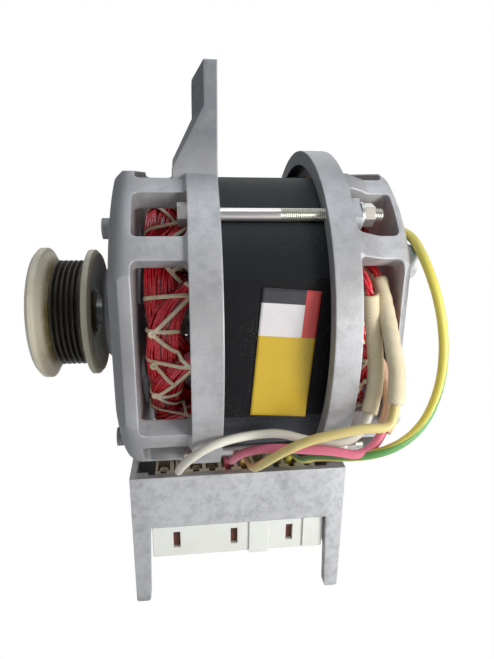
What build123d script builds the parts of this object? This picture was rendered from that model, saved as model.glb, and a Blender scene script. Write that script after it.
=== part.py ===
# Washing machine drive motor, four-pole capacitor-run induction motor in a cast cage
# Millimetres, +Z up, X along the shaft, pulley at -X, origin at the centre of the hanger hole
import math
import os
from build123d import *

# Shaft line, below and behind the hanger hole
hanger_y = -21.0
hanger_z = 96.0
shaft_y = -hanger_y
shaft_z = -hanger_z

# Laminated stator
corner_r = 69.85
flat_half = 64.0
stack_start = -1.0
stack_length = 51.0
bore_r = 38.0
slot_count = 24
slot_width = 5.2
slot_inner_r = 40.5
slot_outer_r = 57.0
slot_mouth = 2.0
liner_wall = 0.4
liner_reach = 2.5
bar_reach = 4.0

# Through bolts, M5
bolt_offset = 1.35
bolt_circle_r = corner_r + bolt_offset
bolt_r = 2.5
notch_r = 3.2
bolt_hole_r = 2.75
bolt_head_flats = 8.0
bolt_head_height = 3.6
nut_height = 4.4
washer_r = 5.0
washer_height = 1.1
bolt_stub = 4.2
bolt_fit = 0.05
chamfer_small = 0.6

# Cage of the end shields
wall_rise = 2.65
cage_wall = 8.0
shoulder_lip = 4.25
rabbet_clearance = 0.05
ring_cover = 4.75
rear_ring_cover = 6.35
cage_flat_half = 66.0
cage_slant = 4.0
wall_outer_r = corner_r + wall_rise
wall_inner_r = wall_outer_r - cage_wall
shoulder_r = corner_r - shoulder_lip
ring_outer_r = corner_r + ring_cover
rear_ring_outer_r = corner_r + rear_ring_cover
big_window_half = 29.0
small_window_from = 36.5
window_margin = 16.0
window_cut_inner_r = wall_inner_r - window_margin
window_cut_outer_r = rear_ring_outer_r + window_margin
window_corner_r = 2.5
hub_r = 22.0
vent_inner_r = 33.0
vent_band = 13.0
vent_outer_r = vent_inner_r + vent_band
vent_half = 26.0
vent_corner_r = 3.0
rib_width = 3.0

# Drive end shield along X
drive_boss_face = -47.0
drive_plate_outer = -37.2
drive_web_outer = -33.4
drive_plate_inner = -28.5
drive_ring_start = -7.9
drive_ring_end = 4.4

# Rear end shield along X
rear_ring_start = 44.9
rear_ring_end = 55.4
rear_slope_end = 65.0
rear_plate_inner = 73.2
rear_web_outer = 76.0
rear_plate_outer = 77.2
rear_boss_face = 84.6
bolt_boss_r = 6.4
bolt_boss_height = 3.4

# Bearings, 15 x 35 x 11
bearing_bore_r = 7.5
bearing_outer_r = 17.5
bearing_width = 11.0
race_wall = 2.6
seal_wall = 0.8
seal_gap = 0.35
wave_gap = 1.2

# Rotor
shaft_end = -80.0
nub_end = -84.5
nub_r = 2.4
shaft_r = 6.35
shoulder_step_r = 9.0
core_seat_r = 8.5
rotor_r = 37.6
end_ring_outer_r = 36.4
end_ring_inner_r = 26.0
end_ring_depth = 6.0
blade_count = 10
blade_length = 8.0
blade_depth = 7.0
blade_wall = 2.0

# Belt pulley, ribbed section J, five grooves
groove_count = 5
groove_pitch = 2.34
crest_r = 25.2
groove_depth = 2.0
crest_flat = 0.4
root_flat = 0.3
pulley_centre_x = -62.5
pulley_land = 0.75
hub_bore_r = 6.35
outer_flange_r = 31.2
inner_flange_r = 30.2
flange_wall = 2.6

# Hanger lug
lug_right = 4.7
lug_front_left = -0.5
lug_rear_left = -4.8
lug_base_left = -13.3
lug_base_rear_left = -15.2
lug_front_y = -36.0
lug_bevel_y = -23.0
lug_rear_y = -6.0
lug_top_z = 106.0
lug_rear_top_z = 101.0
lug_waist_z = 90.0
lug_rear_waist_z = 87.0
lug_base_z = 67.0
lug_root_z = 60.0
lug_corner_r = 9.0
hanger_hole_r = 4.25

# Connector bracket
bracket_left = -38.5
bracket_right = 69.3
bracket_front_y = -30.0
bracket_rear_y = 0.0
bracket_wall = 3.0
bracket_height = 28.8
side_height = 62.8
prong_height = 73.8
bracket_top_z = -rear_ring_outer_r
bracket_bottom_z = bracket_top_z - bracket_height
side_bottom_z = bracket_top_z - side_height
prong_bottom_z = bracket_top_z - prong_height
prong_width = 8.7
prong_tip_width = 7.2
prong_depth = 5.5
ear_depth = 15.0
ear_wall = 3.6
foot_drop = 2.4
foot_z = bracket_top_z - foot_drop
foot_width = 12.0
foot_depth = 12.0
foot_screw_y = 8.5
screw_r = 2.0
screw_length = 9.0
screw_head_r = 3.8
screw_head_height = 2.4

# Connectors
way_count = 10
way_pitch = 8.1
housing_left = -26.5
housing_front_y = -27.0
housing_rear_y = -7.6
housing_drop = 0.4
housing_height = 22.4
housing_top_z = bracket_top_z - housing_drop
housing_bottom_z = housing_top_z - housing_height
cavity_width = 6.3
cavity_depth = 13.0
cavity_reach = 17.4
cavity_floor_z = housing_top_z - cavity_reach
latch_slot_width = 3.0
latch_slot_depth = 2.4
header_front_y = -26.4
header_height = 26.5
header_bottom_z = housing_bottom_z - header_height
header_gap = 0.5
header_rib_height = 0.9
header_wall = 2.0
terminal_set = 3.4
terminal_top_z = housing_top_z - terminal_set

# Leads and sleeves
lead_r = 1.8
sleeve_r = 3.1

# End windings
wind_clearance = 6.3
wind_band = 17.2
wind_outer_r = wall_inner_r - wind_clearance
wind_inner_r = wind_outer_r - wind_band
wind_corner_r = 5.0
drive_wind_end = -24.6
rear_wind_end = 69.4
turn_r = 0.9
turn_seat = 0.15
drive_turns = 6
rear_turns = 4
turn_pitch = 2.3

# Small features
near = 0.05
draft = 1.2
corner_small = 1.5
pocket_lip = 1.6
seal_land_r = 14.0
rim_land = 4.5
rim_inner_r = wall_inner_r - rim_land
rim_draft = 1.5
rim_corner_r = 7.0
rear_rim_r = 4.0
ring_step = 1.6
rib_drop = 0.6
rear_cap = 2.6
pad_inset = 9.5
pad_circle_r = wall_outer_r - pad_inset
pad_angle = 31.0
pad_r = 7.5
pad_height = 4.6
pad_taper = 12.0
drive_pad_r = 4.0
drive_pad_height = 2.8
foot_sink = 1.9
screw_fit = 0.1
earth_hole_depth = 2.2
earth_r = 51.5
earth_angle = 122.0
tab_length = 3.0
tab_drop = 1.5
turn_sides = 8
coil_samples = 48
protector_height = 3.2
protector_width = 8.0
protector_length = 17.0
protector_corner = 1.5
protector_y = 49.6
shaft_collar = 3.0
seal_set = 0.6
flange_flat_r = 23.5
flange_dish_r = 20.0
flange_hub_r = 11.0
flange_boss = 1.4
rim_wall = 3.2
rim_round = 1.8
outer_flare = 5.6
inner_flare = 2.4
rear_wall_drop = 1.1
rear_wall_top_z = bracket_top_z - rear_wall_drop
side_round = 8.0
side_slope = 3.0
tip_round = 1.5

# Terminals and header details
housing_lip = 1.6
blade_width = 4.8
blade_thick = 0.8
crimp_r = 2.3
crimp_length = 6.0
pin_length = 11.0
socket_depth = 17.0
tag_wall = 0.8
header_slot_x = [-16.9, 12.8, 42.1]
header_slot_width = 3.6
header_slot_rise = 4.9
header_slot_height = 9.6
header_slot_low_z = header_bottom_z + header_slot_rise
header_slot_high_z = header_slot_low_z + header_slot_height
header_rib_x = [25.8, 54.4]
header_rib_width = 10.2

# Lead routes as points along X, Y and Z from the shaft line
run_share = 0.45
lead_ways = {"white": 1, "pink": 4, "yellow": 5, "earth": 7}
entry_y = [-38.5, -31.5, -24.0]
entry_z = [-67.3, -70.2, -71.6]
entry_turn_rise = 3.2
entry_turn_z = housing_top_z + entry_turn_rise
exit_reach = 6.0
white_sleeve_route = [
    (63.6, -61.9, 14.0), (63.4, -66.5, 5.0), (63.4, -70.5, -6.0), (62.6, -73.4, -15.5), (60.3, -75.2, -23.0),
]
yellow_sleeve_route = [
    (66.0, -57.3, 27.3), (68.6, -62.5, 19.5), (69.6, -69.0, 11.5), (70.1, -75.8, 2.5), (71.3, -80.2, -7.0),
    (69.3, -83.0, -16.0),
]
pink_sleeve_route = [
    (66.0, -63.2, -5.5), (69.0, -67.5, -11.0), (69.9, -72.4, -17.0), (68.8, -76.2, -23.5), (65.0, -79.0, -29.0),
]
white_route = [
    (53.4, -77.0, -33.2), (46.2, -76.2, -35.2), (37.0, -72.0, -35.2),
    (27.5, -67.6, -35.5), (17.5, -65.8, -36.5), (8.0, -66.5, -38.8), (-1.0, -66.5, -43.5),
    (-8.5, -61.5, -51.5), (-13.0, -53.0, -59.5), (-14.3, -45.5, -64.0),
]
pink_route = [
    (54.8, -82.6, -37.0), (45.4, -81.4, -36.8), (35.0, -76.5, -37.0),
    (25.0, -69.6, -41.5), (16.5, -61.6, -50.5), (11.4, -52.0, -59.4), (9.95, -45.0, -64.3),
]
yellow_route = [
    (63.2, -86.0, -26.2), (55.4, -85.8, -28.4), (46.0, -84.4, -29.8), (36.5, -81.8, -33.0),
    (28.5, -79.0, -38.5), (22.5, -74.0, -45.5), (19.2, -65.5, -53.5), (18.2, -55.0, -60.5), (18.05, -46.0, -64.5),
]
earth_route = [
    (80.6, -54.0, 43.0), (82.5, -62.0, 39.5), (85.2, -68.4, 32.5), (87.7, -71.6, 23.5), (89.5, -73.2, 12.0),
    (89.7, -75.2, -0.5), (87.5, -78.0, -12.5), (82.5, -82.0, -23.0), (75.0, -86.0, -31.5), (66.0, -87.0, -37.5),
    (56.5, -84.5, -42.5), (47.5, -79.0, -48.5), (40.5, -70.5, -54.0), (36.3, -61.0, -58.8), (34.4, -50.0, -63.0),
]

shaft_axis = Axis((0, shaft_y, shaft_z), (1, 0, 0))
along = Plane(origin=(0, shaft_y, shaft_z), x_dir=(1, 0, 0), z_dir=(0, -1, 0))


def across(x):
    return Plane(origin=(x, shaft_y, shaft_z), x_dir=(0, 1, 0), z_dir=(1, 0, 0))


def level(z):
    return Plane(origin=(0, shaft_y, shaft_z + z), x_dir=(1, 0, 0), z_dir=(0, 0, 1))


def facing(y):
    return Plane(origin=(0, shaft_y + y, shaft_z), x_dir=(1, 0, 0), z_dir=(0, -1, 0))


def at(x, y, z):
    return Vector(x, shaft_y + y, shaft_z + z)


def spot(radius, degrees):
    return (radius * math.cos(math.radians(degrees)), radius * math.sin(math.radians(degrees)))


def turned(points):
    with BuildPart() as piece:
        with BuildSketch(along):
            with BuildLine():
                Polyline(*points, close=True)
            make_face()
        revolve(axis=shaft_axis)
    return piece.part


def across_corners(flats):
    return flats / math.sqrt(3)


def window_cutter(x_from, x_to, middle, half):
    with BuildPart() as cutter:
        with BuildSketch(across(x_from)):
            with BuildLine():
                Polyline(
                    spot(window_cut_inner_r, middle - half),
                    spot(window_cut_outer_r, middle - half),
                    spot(window_cut_outer_r, middle + half),
                    spot(window_cut_inner_r, middle + half),
                    close=True,
                )
            make_face()
        extrude(amount=x_to - x_from)
        slant = window_cut_outer_r - window_cut_inner_r
        corners = cutter.edges().filter_by(lambda e: abs(e.length - slant) < chamfer_small)
        fillet(corners, radius=window_corner_r)
    return cutter.part


def vent_cutter(x_from, x_to, middle):
    with BuildPart() as cutter:
        with BuildSketch(across(x_from)):
            with BuildLine():
                start = spot(vent_inner_r, middle - vent_half)
                far = spot(vent_outer_r, middle - vent_half)
                ThreePointArc(start, spot(vent_inner_r, middle), spot(vent_inner_r, middle + vent_half))
                Line(spot(vent_inner_r, middle + vent_half), spot(vent_outer_r, middle + vent_half))
                ThreePointArc(spot(vent_outer_r, middle + vent_half), spot(vent_outer_r, middle), far)
                Line(far, start)
            make_face()
        extrude(amount=x_to - x_from)
        fillet(cutter.edges().filter_by(Axis.X), radius=vent_corner_r)
    return cutter.part


def flats_cutter(face_x, end_x):
    way = 1 if end_x > face_x else -1
    slant_x = face_x + way * cage_slant
    with BuildPart() as cutter:
        with BuildSketch(across(face_x - way * overrun)):
            Circle(window_cut_outer_r)
        extrude(amount=end_x - face_x + way * overrun)
        with BuildSketch(across(face_x - way * overrun)):
            Rectangle(2 * (cage_flat_half - cage_slant - overrun), 2 * (cage_flat_half - cage_slant - overrun))
        with BuildSketch(across(slant_x)):
            Rectangle(2 * cage_flat_half, 2 * cage_flat_half)
        loft(mode=Mode.SUBTRACT)
        with BuildSketch(across(slant_x)):
            Rectangle(2 * cage_flat_half, 2 * cage_flat_half)
        extrude(amount=end_x - slant_x, mode=Mode.SUBTRACT)
    return cutter.part


overrun = 2.0
quarters = [0, 90, 180, 270]
first_diagonal = 45
diagonals = [quarter + first_diagonal for quarter in quarters]
small_half = first_diagonal - small_window_from
rib_middle_r = (hub_r + rim_inner_r) / 2
rib_reach = rim_inner_r - hub_r + overrun

# Drive end shield, a cast cage with the hanger lug
drive_cutters = []
for quarter in quarters:
    reach = lug_base_left if quarter == 90 else drive_ring_start
    drive_cutters.append(window_cutter(drive_plate_inner, reach, quarter, big_window_half))
for diagonal in diagonals:
    drive_cutters.append(window_cutter(drive_plate_inner, drive_ring_start, diagonal, small_half))
    drive_cutters.append(vent_cutter(drive_plate_outer - overrun, drive_plate_inner + overrun, diagonal))

drive_pocket_start = drive_boss_face + pocket_lip
drive_hub_end = drive_pocket_start + bearing_width
lug_front = [
    (lug_right, lug_root_z),
    (lug_right, lug_top_z),
    (lug_front_left, lug_top_z),
    (lug_front_left, lug_waist_z),
    (lug_base_left, lug_base_z),
    (lug_base_left, lug_root_z),
]
lug_rear = [
    (lug_right, lug_root_z),
    (lug_right, lug_top_z),
    (lug_rear_left, lug_rear_top_z),
    (lug_rear_left, lug_rear_waist_z),
    (lug_base_rear_left, lug_base_z),
    (lug_base_rear_left, lug_root_z),
]
with BuildPart() as drive_end_shield:
    with BuildSketch(along):
        with BuildLine():
            Polyline(
                (drive_boss_face, 0),
                (drive_boss_face, hub_r - corner_small),
                (drive_boss_face + corner_small, hub_r),
                (drive_web_outer, hub_r + draft),
                (drive_web_outer, rim_inner_r),
                (drive_plate_outer, rim_inner_r + rim_draft),
                (drive_plate_outer, wall_outer_r - rim_corner_r),
            )
            ThreePointArc(
                (drive_plate_outer, wall_outer_r - rim_corner_r),
                (
                    drive_plate_outer + rim_corner_r * (1 - math.sqrt(0.5)),
                    wall_outer_r - rim_corner_r * (1 - math.sqrt(0.5)),
                ),
                (drive_plate_outer + rim_corner_r, wall_outer_r),
            )
            Polyline(
                (drive_plate_outer + rim_corner_r, wall_outer_r),
                (drive_ring_start - ring_step, wall_outer_r),
                (drive_ring_start, ring_outer_r),
                (drive_ring_end, ring_outer_r),
                (drive_ring_end, 0),
                (drive_boss_face, 0),
            )
        make_face()
    revolve(axis=shaft_axis)
    add(flats_cutter(drive_plate_outer, drive_ring_start - ring_step), mode=Mode.SUBTRACT)
    with BuildSketch(facing(lug_front_y)):
        Polygon(*lug_front, align=None)
    with BuildSketch(facing(lug_bevel_y)):
        Polygon(*lug_rear, align=None)
    loft()
    with BuildSketch(facing(lug_rear_y)):
        Polygon(*lug_rear, align=None)
    extrude(amount=lug_rear_y - lug_bevel_y)
    rear_top = drive_end_shield.edges().filter_by(
        lambda e: abs(e.center().Y - shaft_y - lug_rear_y) < near and e.center().Z > shaft_z + lug_waist_z
        and e.length > lug_right
    )
    fillet(rear_top.sort_by(Axis.Z)[-1:], radius=lug_corner_r)
    with BuildSketch(along):
        with BuildLine():
            Polyline(
                (drive_pocket_start, 0),
                (drive_pocket_start, bearing_outer_r),
                (drive_hub_end, bearing_outer_r),
                (drive_hub_end, hub_r),
                (drive_plate_inner, hub_r),
                (drive_plate_inner, wall_inner_r),
                (drive_ring_start, wall_inner_r),
                (drive_ring_start, shoulder_r),
                (stack_start, shoulder_r),
                (stack_start, corner_r + rabbet_clearance),
                (drive_ring_end + overrun, corner_r + rabbet_clearance),
                (drive_ring_end + overrun, 0),
                close=True,
            )
        make_face()
    revolve(axis=shaft_axis, mode=Mode.SUBTRACT)
    add(drive_cutters, mode=Mode.SUBTRACT)
    with BuildSketch(across(drive_boss_face)):
        Circle(seal_land_r)
    extrude(amount=pocket_lip + overrun, mode=Mode.SUBTRACT)
    with BuildSketch(across(drive_web_outer)):
        with PolarLocations(rib_middle_r, len(quarters)):
            Rectangle(rib_reach, rib_width)
    extrude(amount=drive_plate_outer - drive_web_outer + rib_drop)
    with BuildSketch(across(drive_web_outer)):
        with PolarLocations(pad_circle_r, len(diagonals), start_angle=first_diagonal):
            Circle(drive_pad_r)
    extrude(amount=drive_plate_outer - drive_web_outer - drive_pad_height)
    with BuildSketch(across(drive_ring_start - overrun)):
        with PolarLocations(bolt_circle_r, len(diagonals), start_angle=first_diagonal):
            Circle(bolt_hole_r)
    extrude(amount=drive_ring_end - drive_ring_start + 2 * overrun, mode=Mode.SUBTRACT)
    with BuildSketch(Plane(at(lug_rear_left - overrun, hanger_y, hanger_z), (0, 1, 0), (1, 0, 0))):
        Circle(hanger_hole_r)
    extrude(amount=lug_right - lug_rear_left + 2 * overrun, mode=Mode.SUBTRACT)
    with BuildSketch(level(foot_z)):
        with Locations(((drive_ring_start + drive_ring_end) / 2, foot_screw_y)):
            Rectangle(drive_ring_end - drive_ring_start, foot_depth)
    extrude(amount=foot_sink - foot_z - ring_outer_r)
    with BuildSketch(level(foot_z)):
        with Locations(((drive_ring_start + drive_ring_end) / 2, foot_screw_y)):
            Circle(screw_r + screw_fit)
    extrude(amount=screw_length - ear_wall + overrun, mode=Mode.SUBTRACT)
drive_end_shield.part.label = "drive_end_shield"

# Rear end shield, cage with a raised ring, nut bosses and outer pads
rear_cutters = []
for quarter in quarters:
    rear_cutters.append(window_cutter(rear_ring_end, rear_plate_inner, quarter, big_window_half))
for diagonal in diagonals:
    rear_cutters.append(window_cutter(rear_ring_end, rear_plate_inner, diagonal, small_half))
    rear_cutters.append(vent_cutter(rear_plate_inner - overrun, rear_plate_outer + overrun, diagonal))
rear_pocket_end = rear_boss_face - rear_cap
rear_hub_start = rear_pocket_end - wave_gap - bearing_width
pad_spots = [spot(pad_circle_r, side + way * pad_angle) for side in (0, 180) for way in (-1, 1)]
with BuildPart() as rear_end_shield:
    with BuildSketch(along):
        with BuildLine():
            Polyline(
                (rear_ring_start, 0),
                (rear_ring_start, rear_ring_outer_r),
                (rear_ring_end, rear_ring_outer_r),
                (rear_slope_end, wall_outer_r),
                (rear_plate_outer - rear_rim_r, wall_outer_r),
            )
            ThreePointArc(
                (rear_plate_outer - rear_rim_r, wall_outer_r),
                (
                    rear_plate_outer - rear_rim_r * (1 - math.sqrt(0.5)),
                    wall_outer_r - rear_rim_r * (1 - math.sqrt(0.5)),
                ),
                (rear_plate_outer, wall_outer_r - rear_rim_r),
            )
            Polyline(
                (rear_plate_outer, wall_outer_r - rear_rim_r),
                (rear_plate_outer, rim_inner_r),
                (rear_web_outer, rim_inner_r - rim_draft),
                (rear_web_outer, hub_r + draft),
                (rear_boss_face - corner_small, hub_r),
                (rear_boss_face, hub_r - corner_small),
                (rear_boss_face, 0),
                (rear_ring_start, 0),
            )
        make_face()
    revolve(axis=shaft_axis)
    add(flats_cutter(rear_plate_outer, rear_ring_end), mode=Mode.SUBTRACT)
    with BuildSketch(across(rear_web_outer)):
        with Locations(*pad_spots):
            Circle(pad_r)
    extrude(amount=pad_height, taper=pad_taper)
    with BuildSketch(across(rear_hub_start)):
        Circle(hub_r)
    extrude(amount=rear_plate_inner - rear_hub_start)
    with BuildSketch(along):
        with BuildLine():
            Polyline(
                (rear_ring_start - overrun, 0),
                (rear_ring_start - overrun, corner_r + rabbet_clearance),
                (stack_start + stack_length, corner_r + rabbet_clearance),
                (stack_start + stack_length, shoulder_r),
                (rear_ring_end, shoulder_r),
                (rear_ring_end, wall_inner_r),
                (rear_plate_inner, wall_inner_r),
                (rear_plate_inner, hub_r),
                (rear_hub_start, hub_r),
                (rear_hub_start, bearing_outer_r),
                (rear_pocket_end, bearing_outer_r),
                (rear_pocket_end, 0),
                close=True,
            )
        make_face()
    revolve(axis=shaft_axis, mode=Mode.SUBTRACT)
    add(rear_cutters, mode=Mode.SUBTRACT)
    with BuildSketch(across(rear_ring_end)):
        with PolarLocations(bolt_circle_r, len(diagonals), start_angle=first_diagonal):
            Circle(bolt_boss_r)
        Circle(rear_ring_outer_r - chamfer_small, mode=Mode.INTERSECT)
        Circle(shoulder_r + chamfer_small, mode=Mode.SUBTRACT)
    extrude(amount=bolt_boss_height)
    with BuildSketch(across(rear_ring_start - overrun)):
        with PolarLocations(bolt_circle_r, len(diagonals), start_angle=first_diagonal):
            Circle(bolt_hole_r)
    extrude(amount=rear_ring_end - rear_ring_start + bolt_boss_height + 2 * overrun, mode=Mode.SUBTRACT)
    with BuildSketch(level(foot_z)):
        with Locations(((rear_ring_start + rear_ring_end) / 2, foot_screw_y)):
            Rectangle(rear_ring_end - rear_ring_start, foot_depth)
    extrude(amount=foot_sink - foot_z - rear_ring_outer_r)
    with BuildSketch(level(foot_z)):
        with Locations(((rear_ring_start + rear_ring_end) / 2, foot_screw_y)):
            Circle(screw_r + screw_fit)
    extrude(amount=screw_length - ear_wall + overrun, mode=Mode.SUBTRACT)
    with BuildSketch(across(rear_web_outer - earth_hole_depth)):
        with Locations(spot(earth_r, earth_angle)):
            Circle(screw_r + screw_fit)
    extrude(amount=earth_hole_depth + overrun, mode=Mode.SUBTRACT)
rear_end_shield.part.label = "rear_end_shield"

# Stator core, square lamination stack with round corners and bolt notches
slot_middle_r = (slot_inner_r + slot_outer_r) / 2
slot_depth = slot_outer_r - slot_inner_r
with BuildPart() as stator_core:
    with BuildSketch(across(stack_start)):
        Circle(corner_r)
        Rectangle(2 * flat_half, 2 * flat_half, mode=Mode.INTERSECT)
        with PolarLocations(bolt_circle_r, len(diagonals), start_angle=first_diagonal):
            Circle(notch_r, mode=Mode.SUBTRACT)
        Circle(bore_r, mode=Mode.SUBTRACT)
        with PolarLocations(slot_middle_r, slot_count):
            Rectangle(slot_depth, slot_width, mode=Mode.SUBTRACT)
        with PolarLocations(bore_r, slot_count):
            Rectangle(2 * (slot_inner_r - bore_r) + overrun, slot_mouth, mode=Mode.SUBTRACT)
    extrude(amount=stack_length)
stator_core.part.label = "stator_core"

# Slot liners, folded insulation around each bar of wire
with BuildPart() as slot_liners:
    with BuildSketch(across(stack_start - liner_reach)):
        with PolarLocations(slot_middle_r, slot_count):
            Rectangle(slot_depth, slot_width)
        with PolarLocations(slot_middle_r - liner_wall, slot_count):
            Rectangle(slot_depth, slot_width - 2 * liner_wall, mode=Mode.SUBTRACT)
    extrude(amount=stack_length + 2 * liner_reach)
slot_liners.part.label = "slot_liners"

# Wire in the slots
with BuildPart() as slot_wires:
    with BuildSketch(across(stack_start - bar_reach)):
        with PolarLocations(slot_middle_r, slot_count):
            Rectangle(slot_depth - 2 * liner_wall, slot_width - 2 * liner_wall)
    extrude(amount=stack_length + 2 * bar_reach)
slot_wires.part.label = "slot_wires"


# End windings, a coil bundle with an outer layer of turns wound over it
def bundle(x_from, x_to, tab_x):
    with BuildPart() as piece:
        with BuildSketch(along):
            with Locations(((x_from + x_to) / 2, (wind_inner_r + wind_outer_r) / 2)):
                RectangleRounded(x_to - x_from, wind_outer_r - wind_inner_r, wind_corner_r)
        revolve(axis=shaft_axis)
        for x, way in tab_x:
            middle = (x, way * (2 * turn_r + tab_length / 2), wind_outer_r + turn_seat + turn_r - tab_drop / 2)
            with Locations(Plane(at(*middle))):
                Box(2 * turn_r, tab_length, 2 * turn_r + tab_drop)
    return piece.part


def biarc(start, start_way, end, end_way):
    chord = end - start
    both = start_way + end_way
    a = 2 * (1 - start_way.dot(end_way))
    b = 2 * chord.dot(both)
    c = -chord.dot(chord)
    reach = (-b + math.sqrt(b * b - 4 * a * c)) / (2 * a)
    joint = (start + start_way * reach + end - end_way * reach) * 0.5
    return joint


def coil(first_x, turns, pitch):
    radius = wind_outer_r + turn_seat + turn_r
    quarter_turns = 4 * turns
    rise = pitch / 4
    slope = pitch / (2 * math.pi * radius)
    length = math.sqrt(1 + slope * slope)
    spots = []
    ways = []
    for step in range(quarter_turns + 1):
        angle = math.pi / 2 + step * math.pi / 2
        spots.append(at(first_x + step * rise, radius * math.cos(angle), radius * math.sin(angle)))
        ways.append(Vector(slope, -math.sin(angle), math.cos(angle)) / length)
    ways[0] = Vector(0, -1, 0)
    ways[-1] = Vector(0, -1, 0)
    with BuildLine() as path:
        Line(spots[0] + Vector(0, 2 * turn_r, 0), spots[0])
        for step in range(quarter_turns):
            joint = biarc(spots[step], ways[step], spots[step + 1], ways[step + 1])
            first = TangentArc(spots[step], joint, tangent=ways[step])
            TangentArc(joint, spots[step + 1], tangent=first % 1)
        Line(spots[-1], spots[-1] - Vector(0, 2 * turn_r, 0))
    with BuildPart() as piece:
        with BuildSketch(Plane(spots[0] + Vector(0, 2 * turn_r, 0), z_dir=(0, -1, 0))):
            RegularPolygon(turn_r, turn_sides, major_radius=True)
        sweep(path=path.line)
    points = []
    for step in range(turns * coil_samples + 1):
        angle = math.pi / 2 + 2 * math.pi * step / coil_samples
        points.append((first_x + pitch * step / coil_samples, radius * math.cos(angle), radius * math.sin(angle)))
    least = pitch
    for i, one in enumerate(points):
        for other in points[i + coil_samples // 2:]:
            least = min(least, math.dist(one, other))
    print("least gap between turns", round(least - 2 * turn_r, 2))
    return piece.part


drive_bundle_end = stack_start - bar_reach
drive_first = drive_wind_end + wind_corner_r / 2 + turn_r
drive_last = drive_first + drive_turns * turn_pitch
winding_drive = bundle(drive_wind_end, drive_bundle_end, [(drive_first, 1), (drive_last, -1)])
winding_drive.label = "winding_drive"
winding_drive_turns = coil(drive_first, drive_turns, turn_pitch)
winding_drive_turns.label = "winding_drive_turns"

rear_bundle_start = stack_start + stack_length + bar_reach
rear_first = rear_bundle_start + wind_corner_r / 2
rear_last = rear_first + rear_turns * turn_pitch
winding_rear = bundle(rear_bundle_start, rear_wind_end, [(rear_first, 1), (rear_last, -1)])
winding_rear.label = "winding_rear"
winding_rear_turns = coil(rear_first, rear_turns, turn_pitch)
winding_rear_turns.label = "winding_rear_turns"

# Thermal protector in its sleeve on the rear winding
with BuildPart() as thermal_protector:
    with Locations(Plane(at(rear_wind_end + protector_height / 2, protector_y, 0))):
        Box(protector_height, protector_width, protector_length)
    fillet(thermal_protector.edges().filter_by(Axis.Z), radius=protector_corner)
thermal_protector.part.label = "thermal_protector"

# Through bolts, washers and nuts
bolt_start = drive_ring_start
nut_start = rear_ring_end + bolt_boss_height + washer_height
with BuildPart() as through_bolts:
    with BuildSketch(across(bolt_start)):
        with PolarLocations(bolt_circle_r, len(diagonals), start_angle=first_diagonal):
            Circle(bolt_r)
    extrude(amount=nut_start + nut_height + bolt_stub - bolt_start)
    with BuildSketch(across(bolt_start)):
        with PolarLocations(bolt_circle_r, len(diagonals), start_angle=first_diagonal):
            RegularPolygon(across_corners(bolt_head_flats), 6)
    extrude(amount=-bolt_head_height)
    tips = through_bolts.faces().filter_by(Axis.X).sort_by(Axis.X)[-len(diagonals):]
    chamfer(tips.edges(), length=chamfer_small)
through_bolts.part.label = "through_bolts"

with BuildPart() as bolt_washers:
    with BuildSketch(across(rear_ring_end + bolt_boss_height)):
        with PolarLocations(bolt_circle_r, len(diagonals), start_angle=first_diagonal):
            Circle(washer_r)
            Circle(bolt_r + bolt_fit, mode=Mode.SUBTRACT)
    extrude(amount=washer_height)
bolt_washers.part.label = "bolt_washers"

with BuildPart() as bolt_nuts:
    with BuildSketch(across(nut_start)):
        with PolarLocations(bolt_circle_r, len(diagonals), start_angle=first_diagonal):
            RegularPolygon(across_corners(bolt_head_flats), 6)
            Circle(bolt_r + bolt_fit, mode=Mode.SUBTRACT)
    extrude(amount=nut_height)
bolt_nuts.part.label = "bolt_nuts"


# Sealed ball bearings
def race(x, inner, outer):
    return turned([(x, inner), (x, outer), (x + bearing_width, outer), (x + bearing_width, inner)])


def seals(x):
    inner = bearing_bore_r + race_wall + seal_gap
    outer = bearing_outer_r - race_wall
    with BuildPart() as piece:
        with BuildSketch(across(x + seal_set), across(x + bearing_width - seal_set - seal_wall)):
            Circle(outer)
            Circle(inner, mode=Mode.SUBTRACT)
        extrude(amount=seal_wall)
    return piece.part


bearing_drive_outer = race(drive_pocket_start, bearing_outer_r - race_wall, bearing_outer_r)
bearing_drive_outer.label = "bearing_drive_outer"
bearing_drive_inner = race(drive_pocket_start, bearing_bore_r, bearing_bore_r + race_wall)
bearing_drive_inner.label = "bearing_drive_inner"
bearing_drive_seals = seals(drive_pocket_start)
bearing_drive_seals.label = "bearing_drive_seals"
bearing_rear_outer = race(rear_hub_start, bearing_outer_r - race_wall, bearing_outer_r)
bearing_rear_outer.label = "bearing_rear_outer"
bearing_rear_inner = race(rear_hub_start, bearing_bore_r, bearing_bore_r + race_wall)
bearing_rear_inner.label = "bearing_rear_inner"
bearing_rear_seals = seals(rear_hub_start)
bearing_rear_seals.label = "bearing_rear_seals"

with BuildPart() as preload_washer:
    with BuildSketch(across(rear_pocket_end - wave_gap)):
        Circle(bearing_outer_r - bolt_fit)
        Circle(bearing_outer_r - race_wall, mode=Mode.SUBTRACT)
    extrude(amount=wave_gap)
preload_washer.part.label = "preload_washer"

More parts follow.
